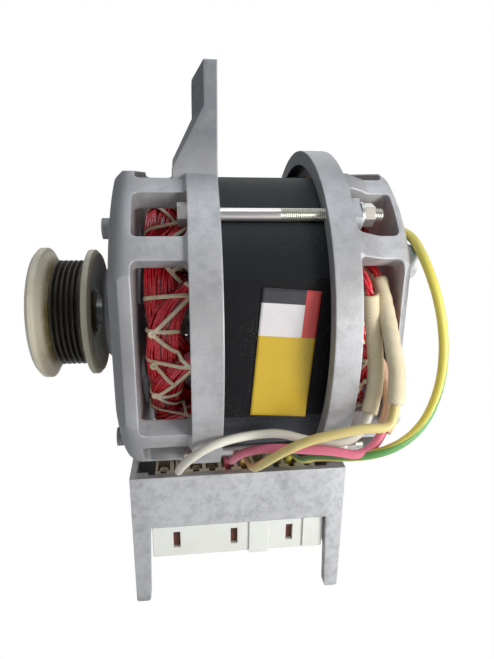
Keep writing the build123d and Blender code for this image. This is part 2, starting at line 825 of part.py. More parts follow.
# Rotor shaft with bearing seats and a centre nub
core_start = stack_start
core_end = stack_start + stack_length
drive_seat_end = drive_pocket_start + bearing_width
shaft = turned(
    [
        (nub_end, 0),
        (nub_end, nub_r - chamfer_small),
        (nub_end + chamfer_small, nub_r),
        (shaft_end, nub_r),
        (shaft_end, shaft_r - chamfer_small),
        (shaft_end + chamfer_small, shaft_r),
        (drive_pocket_start, shaft_r),
        (drive_pocket_start, bearing_bore_r),
        (drive_seat_end, bearing_bore_r),
        (drive_seat_end, shoulder_step_r),
        (core_start - shaft_collar, shoulder_step_r),
        (core_start - shaft_collar, core_seat_r),
        (core_end + shaft_collar, core_seat_r),
        (core_end + shaft_collar, shoulder_step_r),
        (rear_hub_start, shoulder_step_r),
        (rear_hub_start, bearing_bore_r),
        (rear_hub_start + bearing_width, bearing_bore_r),
        (rear_hub_start + bearing_width, 0),
    ]
)
shaft.label = "shaft"

# Rotor laminations and die-cast end rings with blades
rotor_core = turned(
    [(core_start, core_seat_r), (core_start, rotor_r), (core_end, rotor_r), (core_end, core_seat_r)]
)
rotor_core.label = "rotor_core"


def end_ring(x, way):
    with BuildPart() as piece:
        with BuildSketch(across(x)):
            Circle(end_ring_outer_r)
            Circle(end_ring_inner_r, mode=Mode.SUBTRACT)
        extrude(amount=way * end_ring_depth)
        with BuildSketch(across(x + way * end_ring_depth)):
            with PolarLocations(end_ring_outer_r - blade_length / 2 - chamfer_small, blade_count):
                Rectangle(blade_length, blade_wall)
        extrude(amount=way * blade_depth)
    return piece.part


rotor_ring_drive = end_ring(core_start, -1)
rotor_ring_drive.label = "rotor_ring_drive"
rotor_ring_rear = end_ring(core_end, 1)
rotor_ring_rear.label = "rotor_ring_rear"

# Belt pulley
rib_half = groove_count * groove_pitch / 2 + pulley_land
rib_left = pulley_centre_x - rib_half
rib_right = pulley_centre_x + rib_half
pulley_profile = [(rib_left, hub_bore_r), (rib_left, crest_r)]
for groove in range(groove_count):
    groove_x = pulley_centre_x + (groove - (groove_count - 1) / 2) * groove_pitch
    pulley_profile += [
        (groove_x - groove_pitch / 2 + crest_flat / 2, crest_r),
        (groove_x - root_flat / 2, crest_r - groove_depth),
        (groove_x + root_flat / 2, crest_r - groove_depth),
        (groove_x + groove_pitch / 2 - crest_flat / 2, crest_r),
    ]
pulley_profile += [(rib_right, crest_r), (rib_right, hub_bore_r)]
pulley_core = turned(pulley_profile)
pulley_core.label = "pulley_core"


def flange(face_x, way, rim_r, flare):
    far = face_x + way * flange_wall
    tip = face_x + way * flare
    return turned(
        [
            (face_x, hub_bore_r),
            (face_x, flange_flat_r),
            (tip - way * rim_wall / 2, rim_r - rim_round),
            (tip - way * rim_wall / 4, rim_r),
            (tip + way * rim_wall / 2, rim_r),
            (tip + way * rim_wall, rim_r - rim_round),
            (far + way * flange_wall / 2, flange_dish_r),
            (far, flange_hub_r + flange_wall),
            (far, flange_hub_r),
            (far + way * flange_boss, flange_hub_r - draft),
            (far + way * flange_boss, hub_bore_r),
        ]
    )


pulley_flange_outer = flange(rib_left, -1, outer_flange_r, outer_flare)
pulley_flange_outer.label = "pulley_flange_outer"
pulley_flange_inner = flange(rib_right, 1, inner_flange_r, inner_flare)
pulley_flange_inner.label = "pulley_flange_inner"

# Connector bracket, open box frame with side walls, prongs and two ears
box_width = bracket_right - bracket_left
box_centre_x = (bracket_left + bracket_right) / 2
box_depth = bracket_rear_y - bracket_front_y
drive_ring_centre = (drive_ring_start + drive_ring_end) / 2
rear_ring_centre = (rear_ring_start + rear_ring_end) / 2
ear_reach = ear_depth + bracket_wall
ear_centre_y = bracket_rear_y + (ear_depth - bracket_wall) / 2
with BuildPart() as connector_bracket:
    with BuildSketch(level(bracket_bottom_z)):
        with Locations((box_centre_x, bracket_front_y + bracket_wall / 2)):
            Rectangle(box_width, bracket_wall)
    extrude(amount=bracket_top_z - bracket_bottom_z)
    with BuildSketch(level(bracket_bottom_z)):
        with Locations((box_centre_x, bracket_rear_y - bracket_wall / 2)):
            Rectangle(box_width, bracket_wall)
    extrude(amount=rear_wall_top_z - bracket_bottom_z)
    for edge_x, way in ((bracket_left, 1), (bracket_right, -1)):
        with BuildSketch(across(edge_x)):
            Polygon(
                (bracket_front_y, bracket_top_z),
                (bracket_rear_y - side_round, bracket_top_z),
                (bracket_rear_y, rear_wall_top_z),
                (bracket_rear_y, side_bottom_z + side_slope),
                (bracket_rear_y - side_round, side_bottom_z),
                (bracket_front_y, side_bottom_z),
                align=None,
            )
        extrude(amount=way * bracket_wall)
        with BuildSketch(facing(bracket_front_y)):
            Polygon(
                (edge_x, bracket_top_z),
                (edge_x + way * prong_width, bracket_top_z),
                (edge_x + way * prong_width, bracket_bottom_z),
                (edge_x + way * prong_tip_width, prong_bottom_z),
                (edge_x, prong_bottom_z),
                align=None,
            )
        extrude(amount=-prong_depth)
    tips = connector_bracket.edges().filter_by(Axis.Y).filter_by(
        lambda e: abs(e.center().Z - shaft_z - prong_bottom_z) < near
    )
    fillet(tips, radius=tip_round)
    with BuildSketch(level(foot_z)):
        with Locations((drive_ring_centre, ear_centre_y), (rear_ring_centre, ear_centre_y)):
            Rectangle(foot_width, ear_reach)
    extrude(amount=-ear_wall)
    with BuildSketch(level(foot_z)):
        with Locations((drive_ring_centre, foot_screw_y), (rear_ring_centre, foot_screw_y)):
            Circle(screw_r + screw_fit)
    extrude(amount=-ear_wall, mode=Mode.SUBTRACT)
connector_bracket.part.label = "connector_bracket"

with BuildPart() as bracket_screws:
    with BuildSketch(level(foot_z - ear_wall)):
        with Locations((drive_ring_centre, foot_screw_y), (rear_ring_centre, foot_screw_y)):
            Circle(screw_r)
    extrude(amount=screw_length)
    with BuildSketch(level(foot_z - ear_wall)):
        with Locations((drive_ring_centre, foot_screw_y), (rear_ring_centre, foot_screw_y)):
            Circle(screw_head_r)
    extrude(amount=-screw_head_height)
bracket_screws.part.label = "bracket_screws"

# Upper connector housing with ten open ways
housing_width = way_count * way_pitch
housing_centre_x = housing_left + housing_width / 2
housing_centre_y = (housing_front_y + housing_rear_y) / 2
cavity_front_y = housing_front_y + latch_slot_depth + housing_lip
cavity_centre_y = cavity_front_y + cavity_depth / 2
way_places = [
    (housing_left + (way + 0.5) * way_pitch, cavity_centre_y) for way in range(way_count)
]
latch_places = [(x, cavity_front_y - latch_slot_depth / 2) for x, y in way_places]
with BuildPart() as connector_housing:
    with BuildSketch(level(housing_bottom_z)):
        with Locations((housing_centre_x, housing_centre_y)):
            Rectangle(housing_width, housing_rear_y - housing_front_y)
    extrude(amount=housing_top_z - housing_bottom_z)
    with BuildSketch(level(cavity_floor_z)):
        with Locations(*way_places):
            Rectangle(cavity_width, cavity_depth)
        with Locations(*latch_places):
            Rectangle(latch_slot_width, latch_slot_depth + near)
    extrude(amount=housing_top_z - cavity_floor_z, mode=Mode.SUBTRACT)
connector_housing.part.label = "connector_housing"

# Crimp terminals standing in the ways
with BuildPart() as crimp_terminals:
    with BuildSketch(level(cavity_floor_z)):
        with Locations(*way_places):
            Rectangle(blade_width, blade_thick)
    extrude(amount=terminal_top_z - crimp_length - cavity_floor_z)
    with BuildSketch(level(terminal_top_z - crimp_length)):
        with Locations(*way_places):
            Circle(crimp_r)
    extrude(amount=crimp_length)
crimp_terminals.part.label = "crimp_terminals"

# Lower header, open below for the harness plug
header_left = bracket_left + prong_width + header_gap
header_right = bracket_right - prong_width - header_gap
header_width = header_right - header_left
header_centre = ((header_left + header_right) / 2, (header_front_y + bracket_rear_y - bracket_wall) / 2)
header_depth = bracket_rear_y - bracket_wall - header_front_y
slot_places = [(x, (header_slot_low_z + header_slot_high_z) / 2) for x in header_slot_x]
with BuildPart() as connector_header:
    with BuildSketch(level(header_bottom_z)):
        with Locations(header_centre):
            Rectangle(header_width, header_depth)
    extrude(amount=housing_bottom_z - header_bottom_z)
    fillet(connector_header.edges().filter_by(Axis.Z), radius=chamfer_small)
    with BuildSketch(facing(header_front_y)):
        with Locations((header_rib_x[0], (header_bottom_z + bracket_bottom_z) / 2 - header_rib_height)):
            Rectangle(header_rib_width, bracket_bottom_z - header_bottom_z)
        with Locations((header_rib_x[1], (header_bottom_z + bracket_bottom_z) / 2)):
            Rectangle(header_rib_width, bracket_bottom_z - header_bottom_z - header_rib_height)
    extrude(amount=header_rib_height)
    with BuildSketch(level(header_bottom_z)):
        with Locations(header_centre):
            Rectangle(header_width - 2 * header_wall, header_depth - 2 * header_wall)
    extrude(amount=socket_depth, mode=Mode.SUBTRACT)
    with BuildSketch(facing(header_front_y)):
        with Locations(*slot_places):
            Rectangle(header_slot_width, header_slot_high_z - header_slot_low_z)
    extrude(amount=-header_wall, mode=Mode.SUBTRACT)
connector_header.part.label = "connector_header"

pin_places = [(x, header_centre[1]) for x, y in way_places]
with BuildPart() as header_pins:
    with BuildSketch(level(header_bottom_z + socket_depth)):
        with Locations(*pin_places):
            Rectangle(blade_width, blade_thick)
    extrude(amount=-pin_length)
header_pins.part.label = "header_pins"

# Earth terminal and screw on the rear plate
earth_y, earth_z = spot(earth_r, earth_angle)
barrel_x = rear_plate_outer + crimp_r + screw_fit
barrel_start = earth_y - screw_head_r
with BuildPart() as earth_terminal:
    with BuildSketch(across(rear_web_outer)):
        with Locations((earth_y, earth_z)):
            Circle(screw_head_r + chamfer_small)
        with Locations((barrel_start, earth_z)):
            Rectangle(2 * screw_head_r, 2 * crimp_r, mode=Mode.ADD)
        with Locations((earth_y, earth_z)):
            Circle(screw_r + screw_fit, mode=Mode.SUBTRACT)
    extrude(amount=tag_wall)
    with BuildSketch(across(rear_web_outer)):
        with Locations((barrel_start - screw_head_r + tag_wall, earth_z)):
            Rectangle(2 * tag_wall, 2 * crimp_r)
    extrude(amount=barrel_x + crimp_r - rear_web_outer)
    with BuildSketch(facing(barrel_start - screw_head_r + tag_wall)):
        with Locations((barrel_x, earth_z)):
            Circle(crimp_r)
    extrude(amount=crimp_length)
earth_terminal.part.label = "earth_terminal"

with BuildPart() as earth_screw:
    with BuildSketch(across(rear_web_outer + tag_wall)):
        with Locations((earth_y, earth_z)):
            RegularPolygon(screw_head_r, 6)
    extrude(amount=screw_head_height)
    with BuildSketch(across(rear_web_outer + tag_wall)):
        with Locations((earth_y, earth_z)):
            Circle(screw_r)
    extrude(amount=-tag_wall - earth_hole_depth)
earth_screw.part.label = "earth_screw"


# Leads and sleeves, smooth tubes of straight runs and tangent arcs
def tube(name, points, radius):
    spots = [at(*p) for p in points]
    runs = [(b - a) for a, b in zip(spots, spots[1:])]
    radii = []
    for one, two in zip(runs, runs[1:]):
        half = math.radians(one.get_angle(two)) / 2
        radii.append(run_share * min(one.length, two.length) / math.tan(half))
    with BuildLine() as path:
        FilletPolyline(*spots, radius=radii)
    with BuildPart() as piece:
        with BuildSketch(Plane(spots[0], z_dir=runs[0])):
            Circle(radius)
        sweep(path=path.line)
    length = sum(edge.length for edge in path.edges())
    expected = math.pi * radius**2 * length
    print(name, "length", round(length, 1), "least radius", round(min(radii), 1),
          "volume share", round(piece.part.volume / expected, 4), [round(r, 1) for r in radii])
    piece.part.label = name
    return piece.part


def outward(route):
    end = Vector(*route[-1])
    way = (end - Vector(*route[-2])).normalized()
    return [tuple(end), tuple(end + way * exit_reach)]


def entry(way):
    x = way_places[way][0]
    return [
        (x, entry_y[0], entry_z[0]),
        (x, entry_y[1], entry_z[1]),
        (x, entry_y[2], entry_z[2]),
        (x, cavity_centre_y, entry_turn_z),
        (x, cavity_centre_y, terminal_top_z),
    ]


sleeve_white = tube("sleeve_white", white_sleeve_route, sleeve_r)
sleeve_yellow = tube("sleeve_yellow", yellow_sleeve_route, sleeve_r)
sleeve_pink = tube("sleeve_pink", pink_sleeve_route, sleeve_r)
lead_white = tube("lead_white", outward(white_sleeve_route) + white_route + entry(lead_ways["white"]), lead_r)
lead_yellow = tube("lead_yellow", outward(yellow_sleeve_route) + yellow_route + entry(lead_ways["yellow"]), lead_r)
lead_pink = tube("lead_pink", outward(pink_sleeve_route) + pink_route + entry(lead_ways["pink"]), lead_r)
barrel_end_y = barrel_start - screw_head_r + tag_wall - crimp_length
barrel_exit = [(barrel_x, barrel_end_y, earth_z), (barrel_x, barrel_end_y - exit_reach, earth_z)]
lead_earth = tube("lead_earth", barrel_exit + earth_route + entry(lead_ways["earth"]), lead_r)

pieces = [
    drive_end_shield.part, rear_end_shield.part, stator_core.part, slot_liners.part, slot_wires.part,
    winding_drive, winding_drive_turns, winding_rear, winding_rear_turns, thermal_protector.part,
    through_bolts.part, bolt_washers.part, bolt_nuts.part,
    bearing_drive_outer, bearing_drive_inner, bearing_drive_seals,
    bearing_rear_outer, bearing_rear_inner, bearing_rear_seals, preload_washer.part,
    shaft, rotor_core, rotor_ring_drive, rotor_ring_rear,
    pulley_core, pulley_flange_outer, pulley_flange_inner,
    connector_bracket.part, bracket_screws.part, connector_housing.part, crimp_terminals.part,
    connector_header.part, header_pins.part, earth_terminal.part, earth_screw.part,
    sleeve_white, sleeve_yellow, sleeve_pink, lead_white, lead_yellow, lead_pink, lead_earth,
]
os.makedirs("parts", exist_ok=True)
for piece in pieces:
    export_step(piece, "parts/" + piece.label + ".step")
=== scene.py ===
"""Looks of a washing machine drive motor: an open cast cage round a laced red winding, a ribbed belt
pulley on the left, a hanger lug above and a connector bracket below. Metres, in the frame's own axes."""
import math
import random

import bpy
import numpy as np
from mathutils import Matrix, Vector


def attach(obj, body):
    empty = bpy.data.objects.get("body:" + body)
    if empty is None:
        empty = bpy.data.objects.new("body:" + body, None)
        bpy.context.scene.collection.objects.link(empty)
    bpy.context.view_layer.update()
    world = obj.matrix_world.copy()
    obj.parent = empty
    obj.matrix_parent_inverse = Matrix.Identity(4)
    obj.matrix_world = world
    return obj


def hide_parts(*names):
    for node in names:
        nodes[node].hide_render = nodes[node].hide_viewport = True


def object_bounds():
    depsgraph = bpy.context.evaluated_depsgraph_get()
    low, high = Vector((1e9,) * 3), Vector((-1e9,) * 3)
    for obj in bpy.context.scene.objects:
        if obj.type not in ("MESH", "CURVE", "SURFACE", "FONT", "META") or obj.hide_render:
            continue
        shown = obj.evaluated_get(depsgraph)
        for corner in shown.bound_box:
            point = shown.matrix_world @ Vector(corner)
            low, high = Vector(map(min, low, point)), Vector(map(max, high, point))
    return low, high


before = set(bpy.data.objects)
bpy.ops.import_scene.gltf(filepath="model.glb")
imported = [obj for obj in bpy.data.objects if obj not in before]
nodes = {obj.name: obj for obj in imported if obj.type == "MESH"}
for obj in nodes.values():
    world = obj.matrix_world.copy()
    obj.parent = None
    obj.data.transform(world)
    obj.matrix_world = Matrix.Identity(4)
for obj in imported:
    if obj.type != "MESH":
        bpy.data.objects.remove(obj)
cad_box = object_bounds()
MM = 0.001
SHAFT = np.array([0.0, 21.0, -96.0])

# Camera of the photograph, in millimetres from the shaft line
IMAGE_HEIGHT = 659
FOCAL_PX = 495.0
SENSOR = 36.0
CLIP_START = 0.01
CAMERA_PLACE = (-8.3, -242.3, 63.6)
CAMERA_FORWARD = (0.117, 0.949, -0.292)
CAMERA_ROLL = math.radians(0.7)

# Lamps: place, aim, size in metres, power in watts, colour
LAMPS = {
    "key": ((0.55, -0.60, 0.00), (0, 0, -0.1), 0.3, 4.2, (1.0, 0.96, 0.93)),
    "table": ((0.40, -0.42, -0.22), (0, 0, -0.12), 0.35, 2.6, (0.86, 0.93, 1.0)),
    "left": ((-0.80, -0.40, -0.10), (0, 0, -0.1), 0.5, 0.5, (0.9, 0.95, 1.0)),
    "top": ((0.1, -0.10, 0.75), (0, 0, -0.05), 0.5, 2.6, (0.80, 0.90, 1.0)),
    "back": ((0.1, 0.7, 0.5), (0, 0, -0.1), 0.7, 2.5, (1, 1, 1)),
}
WORLD_COLOR = (0.90, 0.94, 1.0)
WORLD_STRENGTH = 0.30
FLOOR_HALF = 1.5
FLOOR_GAP = 0.4 * MM

# Stator stack's faces along the shaft, in millimetres
STACK_START = -1.0
STACK_END = 50.0


def from_shaft(x, y, z):
    """A point given in millimetres from the shaft line, in metres in the frame."""
    return Vector((x, y + SHAFT[1], z + SHAFT[2])) * MM


# Camera, light and floor

def add_camera():
    camera = bpy.data.objects.new("photo_camera", bpy.data.cameras.new("photo_camera"))
    bpy.context.scene.collection.objects.link(camera)
    camera.data.sensor_width = SENSOR
    camera.data.lens = FOCAL_PX / IMAGE_HEIGHT * SENSOR
    camera.data.clip_start = CLIP_START
    forward = Vector(CAMERA_FORWARD).normalized()
    right = forward.cross(Vector((0, 0, 1))).normalized()
    up = right.cross(forward)
    turn = Matrix((right, up, -forward)).transposed().to_4x4()
    place = Matrix.Translation(from_shaft(*CAMERA_PLACE))
    camera.matrix_world = place @ turn @ Matrix.Rotation(CAMERA_ROLL, 4, "Z")
    bpy.context.scene.camera = camera


def add_area(name, place, target, size, power, color):
    light = bpy.data.lights.new(name, "AREA")
    light.shape = "DISK"
    light.size = size
    light.energy = power
    light.color = color
    lamp = bpy.data.objects.new(name, light)
    bpy.context.scene.collection.objects.link(lamp)
    lamp.location = place
    lamp.rotation_euler = (Vector(target) - Vector(place)).to_track_quat("-Z", "Y").to_euler()


def add_world():
    world = bpy.data.worlds.new("studio")
    bpy.context.scene.world = world
    world.use_nodes = True
    tree = world.node_tree
    tree.nodes.clear()
    out = tree.nodes.new("ShaderNodeOutputWorld")
    mix = tree.nodes.new("ShaderNodeMixShader")
    soft = tree.nodes.new("ShaderNodeBackground")
    white = tree.nodes.new("ShaderNodeBackground")
    path = tree.nodes.new("ShaderNodeLightPath")
    soft.inputs["Color"].default_value = (*WORLD_COLOR, 1)
    soft.inputs["Strength"].default_value = WORLD_STRENGTH
    white.inputs["Color"].default_value = (1, 1, 1, 1)
    white.inputs["Strength"].default_value = 1.0
    tree.links.new(path.outputs["Is Camera Ray"], mix.inputs[0])
    tree.links.new(soft.outputs[0], mix.inputs[1])
    tree.links.new(white.outputs[0], mix.inputs[2])
    tree.links.new(mix.outputs[0], out.inputs[0])


def add_floor():
    """A pale floor just under the prongs, plain white to the camera."""
    floor_z = cad_box[0][2] - FLOOR_GAP
    corners = [(-1, -1), (1, -1), (1, 1), (-1, 1)]
    mesh = bpy.data.meshes.new("floor")
    mesh.from_pydata([(FLOOR_HALF * x, FLOOR_HALF * y, floor_z) for x, y in corners], [], [(0, 1, 2, 3)])
    floor = bpy.data.objects.new("floor", mesh)
    bpy.context.scene.collection.objects.link(floor)
    paint = bpy.data.materials.new("pale_floor")
    paint.use_nodes = True
    tree = paint.node_tree
    tree.nodes.clear()
    out = tree.nodes.new("ShaderNodeOutputMaterial")
    mix = tree.nodes.new("ShaderNodeMixShader")
    matte = tree.nodes.new("ShaderNodeBsdfDiffuse")
    glow = tree.nodes.new("ShaderNodeEmission")
    path = tree.nodes.new("ShaderNodeLightPath")
    matte.inputs["Color"].default_value = (0.82, 0.82, 0.82, 1)
    glow.inputs["Color"].default_value = (1, 1, 1, 1)
    tree.links.new(path.outputs["Is Camera Ray"], mix.inputs[0])
    tree.links.new(matte.outputs[0], mix.inputs[1])
    tree.links.new(glow.outputs[0], mix.inputs[2])
    tree.links.new(mix.outputs[0], out.inputs[0])
    floor.data.materials.append(paint)


# Material helpers

class Paint:
    """A Principled material with a few procedural layers added by short calls."""

    def __init__(self, name, color, roughness, metallic=0.0, **sockets):
        self.material = bpy.data.materials.new(name)
        self.material.use_nodes = True
        self.tree = self.material.node_tree
        self.shader = self.tree.nodes["Principled BSDF"]
        self.shader.inputs["Base Color"].default_value = (*color, 1)
        self.shader.inputs["Roughness"].default_value = roughness
        self.shader.inputs["Metallic"].default_value = metallic
        for socket, value in sockets.items():
            self.shader.inputs[socket.replace("_", " ")].default_value = value
        self.place = self.tree.nodes.new("ShaderNodeTexCoord").outputs["Object"]
        self.normal = None

    def node(self, kind, **settings):
        node = self.tree.nodes.new("ShaderNode" + kind)
        for key, value in settings.items():
            setattr(node, key, value)
        return node

    def link(self, source, target):
        self.tree.links.new(source, target)

    def stretched(self, scale):
        """Object coordinates stretched along each axis."""
        mapping = self.node("Mapping")
        mapping.inputs["Scale"].default_value = scale
        self.link(self.place, mapping.inputs["Vector"])
        return mapping.outputs["Vector"]

    def noise(self, scale, detail=4.0, rough=0.6, stretch=None):
        node = self.node("TexNoise")
        node.inputs["Scale"].default_value = scale
        node.inputs["Detail"].default_value = detail
        node.inputs["Roughness"].default_value = rough
        self.link(self.stretched(stretch) if stretch else self.place, node.inputs["Vector"])
        return node.outputs["Fac"]

    def ramp(self, value, low, high, low_value=0.0, high_value=1.0):
        node = self.node("MapRange")
        sockets = ("From Min", "From Max", "To Min", "To Max")
        for socket, number in zip(sockets, (low, high, low_value, high_value)):
            node.inputs[socket].default_value = number
        self.link(value, node.inputs["Value"])
        return node.outputs["Result"]

    def math(self, kind, one, two):
        node = self.node("Math", operation=kind)
        for index, value in enumerate((one, two)):
            if isinstance(value, (int, float)):
                node.inputs[index].default_value = value
            else:
                self.link(value, node.inputs[index])
        return node.outputs[0]

    def axis(self, name):
        node = self.node("SeparateXYZ")
        self.link(self.place, node.inputs[0])
        return node.outputs[name]

    def radius(self):
        """Distance from the shaft line, in metres."""
        shift = self.node("VectorMath", operation="SUBTRACT")
        self.link(self.place, shift.inputs[0])
        shift.inputs[1].default_value = tuple(SHAFT * MM)
        flat = self.node("VectorMath", operation="MULTIPLY")
        self.link(shift.outputs[0], flat.inputs[0])
        flat.inputs[1].default_value = (0, 1, 1)
        length = self.node("VectorMath", operation="LENGTH")
        self.link(flat.outputs[0], length.inputs[0])
        return length.outputs["Value"]

    def facing(self, axis):
        """How far a face looks along an axis, from -1 to 1."""
        geometry = self.node("NewGeometry")
        parts = self.node("SeparateXYZ")
        self.link(geometry.outputs["True Normal"], parts.inputs[0])
        return parts.outputs[axis]

    def blend(self, factor, color):
        """Lays a colour over what the shader has so far, by a factor."""
        mix = self.node("Mix", data_type="RGBA")
        base = self.shader.inputs["Base Color"]
        if base.is_linked:
            self.link(base.links[0].from_socket, mix.inputs["A"])
        else:
            mix.inputs["A"].default_value = base.default_value[:]
        mix.inputs["B"].default_value = (*color, 1)
        self.link(factor, mix.inputs["Factor"])
        self.link(mix.outputs["Result"], base)

    def gloss(self, value, low, high):
        """Roughness that runs from low to high with a value of 0 to 1."""
        self.link(self.ramp(value, 0.0, 1.0, low, high), self.shader.inputs["Roughness"])

    def soft_edges(self, radius):
        """Edges rounded in the shading, as a casting or moulding has them."""
        bevel = self.node("Bevel", samples=6)
        bevel.inputs["Radius"].default_value = radius
        self.normal = bevel.outputs["Normal"]
        self.link(self.normal, self.shader.inputs["Normal"])

    def edge_mask(self, radius, sharpness=0.25):
        """Near 1 along edges and corners, 0 on open faces."""
        bevel = self.node("Bevel", samples=6)
        bevel.inputs["Radius"].default_value = radius
        geometry = self.node("NewGeometry")
        dot = self.node("VectorMath", operation="DOT_PRODUCT")
        self.link(bevel.outputs["Normal"], dot.inputs[0])
        self.link(geometry.outputs["True Normal"], dot.inputs[1])
        return self.ramp(dot.outputs["Value"], 1.0 - sharpness, 0.995, 1.0, 0.0)

    def bump(self, height, strength, distance):
        node = self.node("Bump")
        node.inputs["Strength"].default_value = strength
        node.inputs["Distance"].default_value = distance
        self.link(height, node.inputs["Height"])
        if self.normal is not None:
            self.link(self.normal, node.inputs["Normal"])
        self.normal = node.outputs["Normal"]
        self.link(self.normal, self.shader.inputs["Normal"])


# Materials

def cast_aluminium():
    """Grey casting with painted shade at the pulley's end and on the lug, and painted light at the far end
    and the bracket.
    """
    p = Paint("cast_aluminium", (0.36, 0.350, 0.348), 0.5, 0.4)
    p.soft_edges(0.9 * MM)
    cloud = p.noise(28, 5, 0.62)
    p.blend(p.ramp(cloud, 0.38, 0.68, 0.0, 0.85), (0.48, 0.475, 0.48))
    # Painted shade: the casting darker towards the pulley's end and on the lug.
    pulley_end_shade = p.ramp(p.axis("X"), -24 * MM, -34 * MM, 0.0, 0.65)
    # Painted light: the casting brighter at the far end and on the bracket's foot.
    far_end_light = p.ramp(p.axis("X"), 57 * MM, 66 * MM, 0.0, 0.6)
    lug = p.ramp(p.axis("Z"), -36 * MM, -16 * MM, 0.0, 0.8)
    foot_light = p.ramp(p.axis("Z"), -148 * MM, -170 * MM, 0.0, 0.65)
    p.blend(pulley_end_shade, (0.14, 0.140, 0.142))
    p.blend(far_end_light, (0.66, 0.65, 0.645))
    p.blend(lug, (0.13, 0.145, 0.155))
    p.blend(foot_light, (0.60, 0.60, 0.605))
    smudge = p.noise(160, 5, 0.75)
    p.blend(p.ramp(smudge, 0.46, 0.70, 0.0, 0.6), (0.27, 0.262, 0.256))
    stain = p.noise(75, 6, 0.7)
    p.blend(p.ramp(stain, 0.55, 0.75, 0.0, 0.55), (0.23, 0.23, 0.24))
    p.blend(p.math("MULTIPLY", p.edge_mask(1.1 * MM), 0.45), (0.62, 0.65, 0.69))
    grain = p.noise(900, 3, 0.6)
    p.gloss(cloud, 0.40, 0.62)
    p.bump(p.math("ADD", p.math("MULTIPLY", grain, 0.35), smudge), 0.45, 0.3 * MM)
    return p.material


def black_laminations():
    p = Paint("black_laminations", (0.008, 0.007, 0.008), 0.45, 0.0, Specular_IOR_Level=0.1)
    sheets = p.node("TexWave", wave_type="BANDS", bands_direction="X", wave_profile="SIN")
    sheets.inputs["Scale"].default_value = 320
    sheets.inputs["Distortion"].default_value = 0.6
    p.link(p.place, sheets.inputs["Vector"])
    haze = p.noise(40, 5, 0.65)
    p.blend(p.ramp(haze, 0.45, 0.8, 0.0, 0.5), (0.014, 0.013, 0.014))
    # Painted glints: small light specks in patches, standing for highlights on the sheets.
    glint_specks = p.ramp(p.noise(1300, 2, 0.5), 0.62, 0.70, 0.0, 0.6)
    patches = p.ramp(p.noise(35, 4), 0.42, 0.62)
    p.blend(p.math("MULTIPLY", glint_specks, patches), (0.17, 0.16, 0.15))
    # Painted light: faces looking up lighter and greener, faces looking down lighter and bluer, as lit from
    # above and from the floor.
    p.blend(p.ramp(p.facing("Z"), 0.2, 0.8, 0.0, 0.75), (0.026, 0.031, 0.031))
    p.blend(p.ramp(p.facing("Z"), -0.3, -0.8, 0.0, 0.8), (0.11, 0.12, 0.14))
    p.gloss(haze, 0.34, 0.6)
    relief = p.math("MULTIPLY", sheets.outputs["Fac"], 0.35)
    p.bump(p.math("ADD", relief, p.noise(420, 3, 0.6)), 0.35, 0.15 * MM)
    return p.material


def enamelled_wire(name, color, light):
    p = Paint(name, color, 0.24, 0.0, Specular_IOR_Level=0.7, Coat_Weight=0.6, Coat_Roughness=0.12)
    tone = p.noise(150, 3, 0.6)
    p.blend(p.ramp(tone, 0.4, 0.7, 0.0, 0.8), light)
    p.gloss(p.noise(300, 2), 0.16, 0.36)
    p.bump(p.noise(1800, 2), 0.15, 0.08 * MM)
    return p.material


def lacing_cord():
    p = Paint("lacing_cord", (0.78, 0.63, 0.41), 0.65, 0.0, Specular_IOR_Level=0.3)
    p.blend(p.ramp(p.noise(220, 4), 0.4, 0.7), (0.88, 0.78, 0.57))
    p.blend(p.ramp(p.noise(60, 3), 0.58, 0.75, 0.0, 0.6), (0.50, 0.33, 0.17))
    p.bump(p.noise(1600, 3, 0.7), 0.5, 0.2 * MM)
    return p.material


def zinc_steel():
    p = Paint("zinc_steel", (0.50, 0.48, 0.45), 0.38, 0.85)
    p.soft_edges(0.25 * MM)
    tint = p.noise(70, 3)
    p.blend(p.ramp(tint, 0.42, 0.6, 0.0, 0.6), (0.66, 0.57, 0.52))
    p.blend(p.ramp(p.noise(110, 3), 0.55, 0.7, 0.0, 0.5), (0.50, 0.56, 0.48))
    p.bump(p.noise(900, 3), 0.15, 0.08 * MM)
    return p.material


def threaded_zinc():
    """Bolt finish with a thread that starts past the middle of the shank."""
    p = Paint("threaded_zinc", (0.62, 0.59, 0.57), 0.3, 0.9)
    p.blend(p.ramp(p.noise(60, 3), 0.42, 0.62, 0.0, 0.6), (0.66, 0.55, 0.52))
    p.blend(p.ramp(p.noise(95, 3), 0.55, 0.7, 0.0, 0.5), (0.47, 0.54, 0.47))
    along = p.axis("X")
    pitch = 0.8 * MM
    wave = p.math("SINE", p.math("MULTIPLY", along, 2 * math.pi / pitch), 0.0)
    threaded = p.ramp(along, 27.5 * MM, 28.0 * MM, 0.0, 1.0)
    thread = p.math("MULTIPLY", wave, threaded)
    p.blend(threaded, (0.62, 0.60, 0.50))
    # Painted shade: darker in the valleys of the thread.
    p.blend(p.math("MULTIPLY", p.ramp(thread, 0.2, -0.9), 0.5), (0.24, 0.22, 0.17))
    p.bump(thread, 0.45, 0.2 * MM)
    return p.material


def turned_steel(name, color, roughness):
    p = Paint(name, color, roughness, 0.95)
    rings = p.noise(500, 3, 0.6, (6.0, 1.0, 1.0))
    p.blend(p.ramp(p.noise(45, 4), 0.5, 0.75, 0.0, 0.55), (0.22, 0.19, 0.16))
    p.gloss(rings, roughness - 0.08, roughness + 0.12)
    p.bump(rings, 0.2, 0.1 * MM)
    return p.material


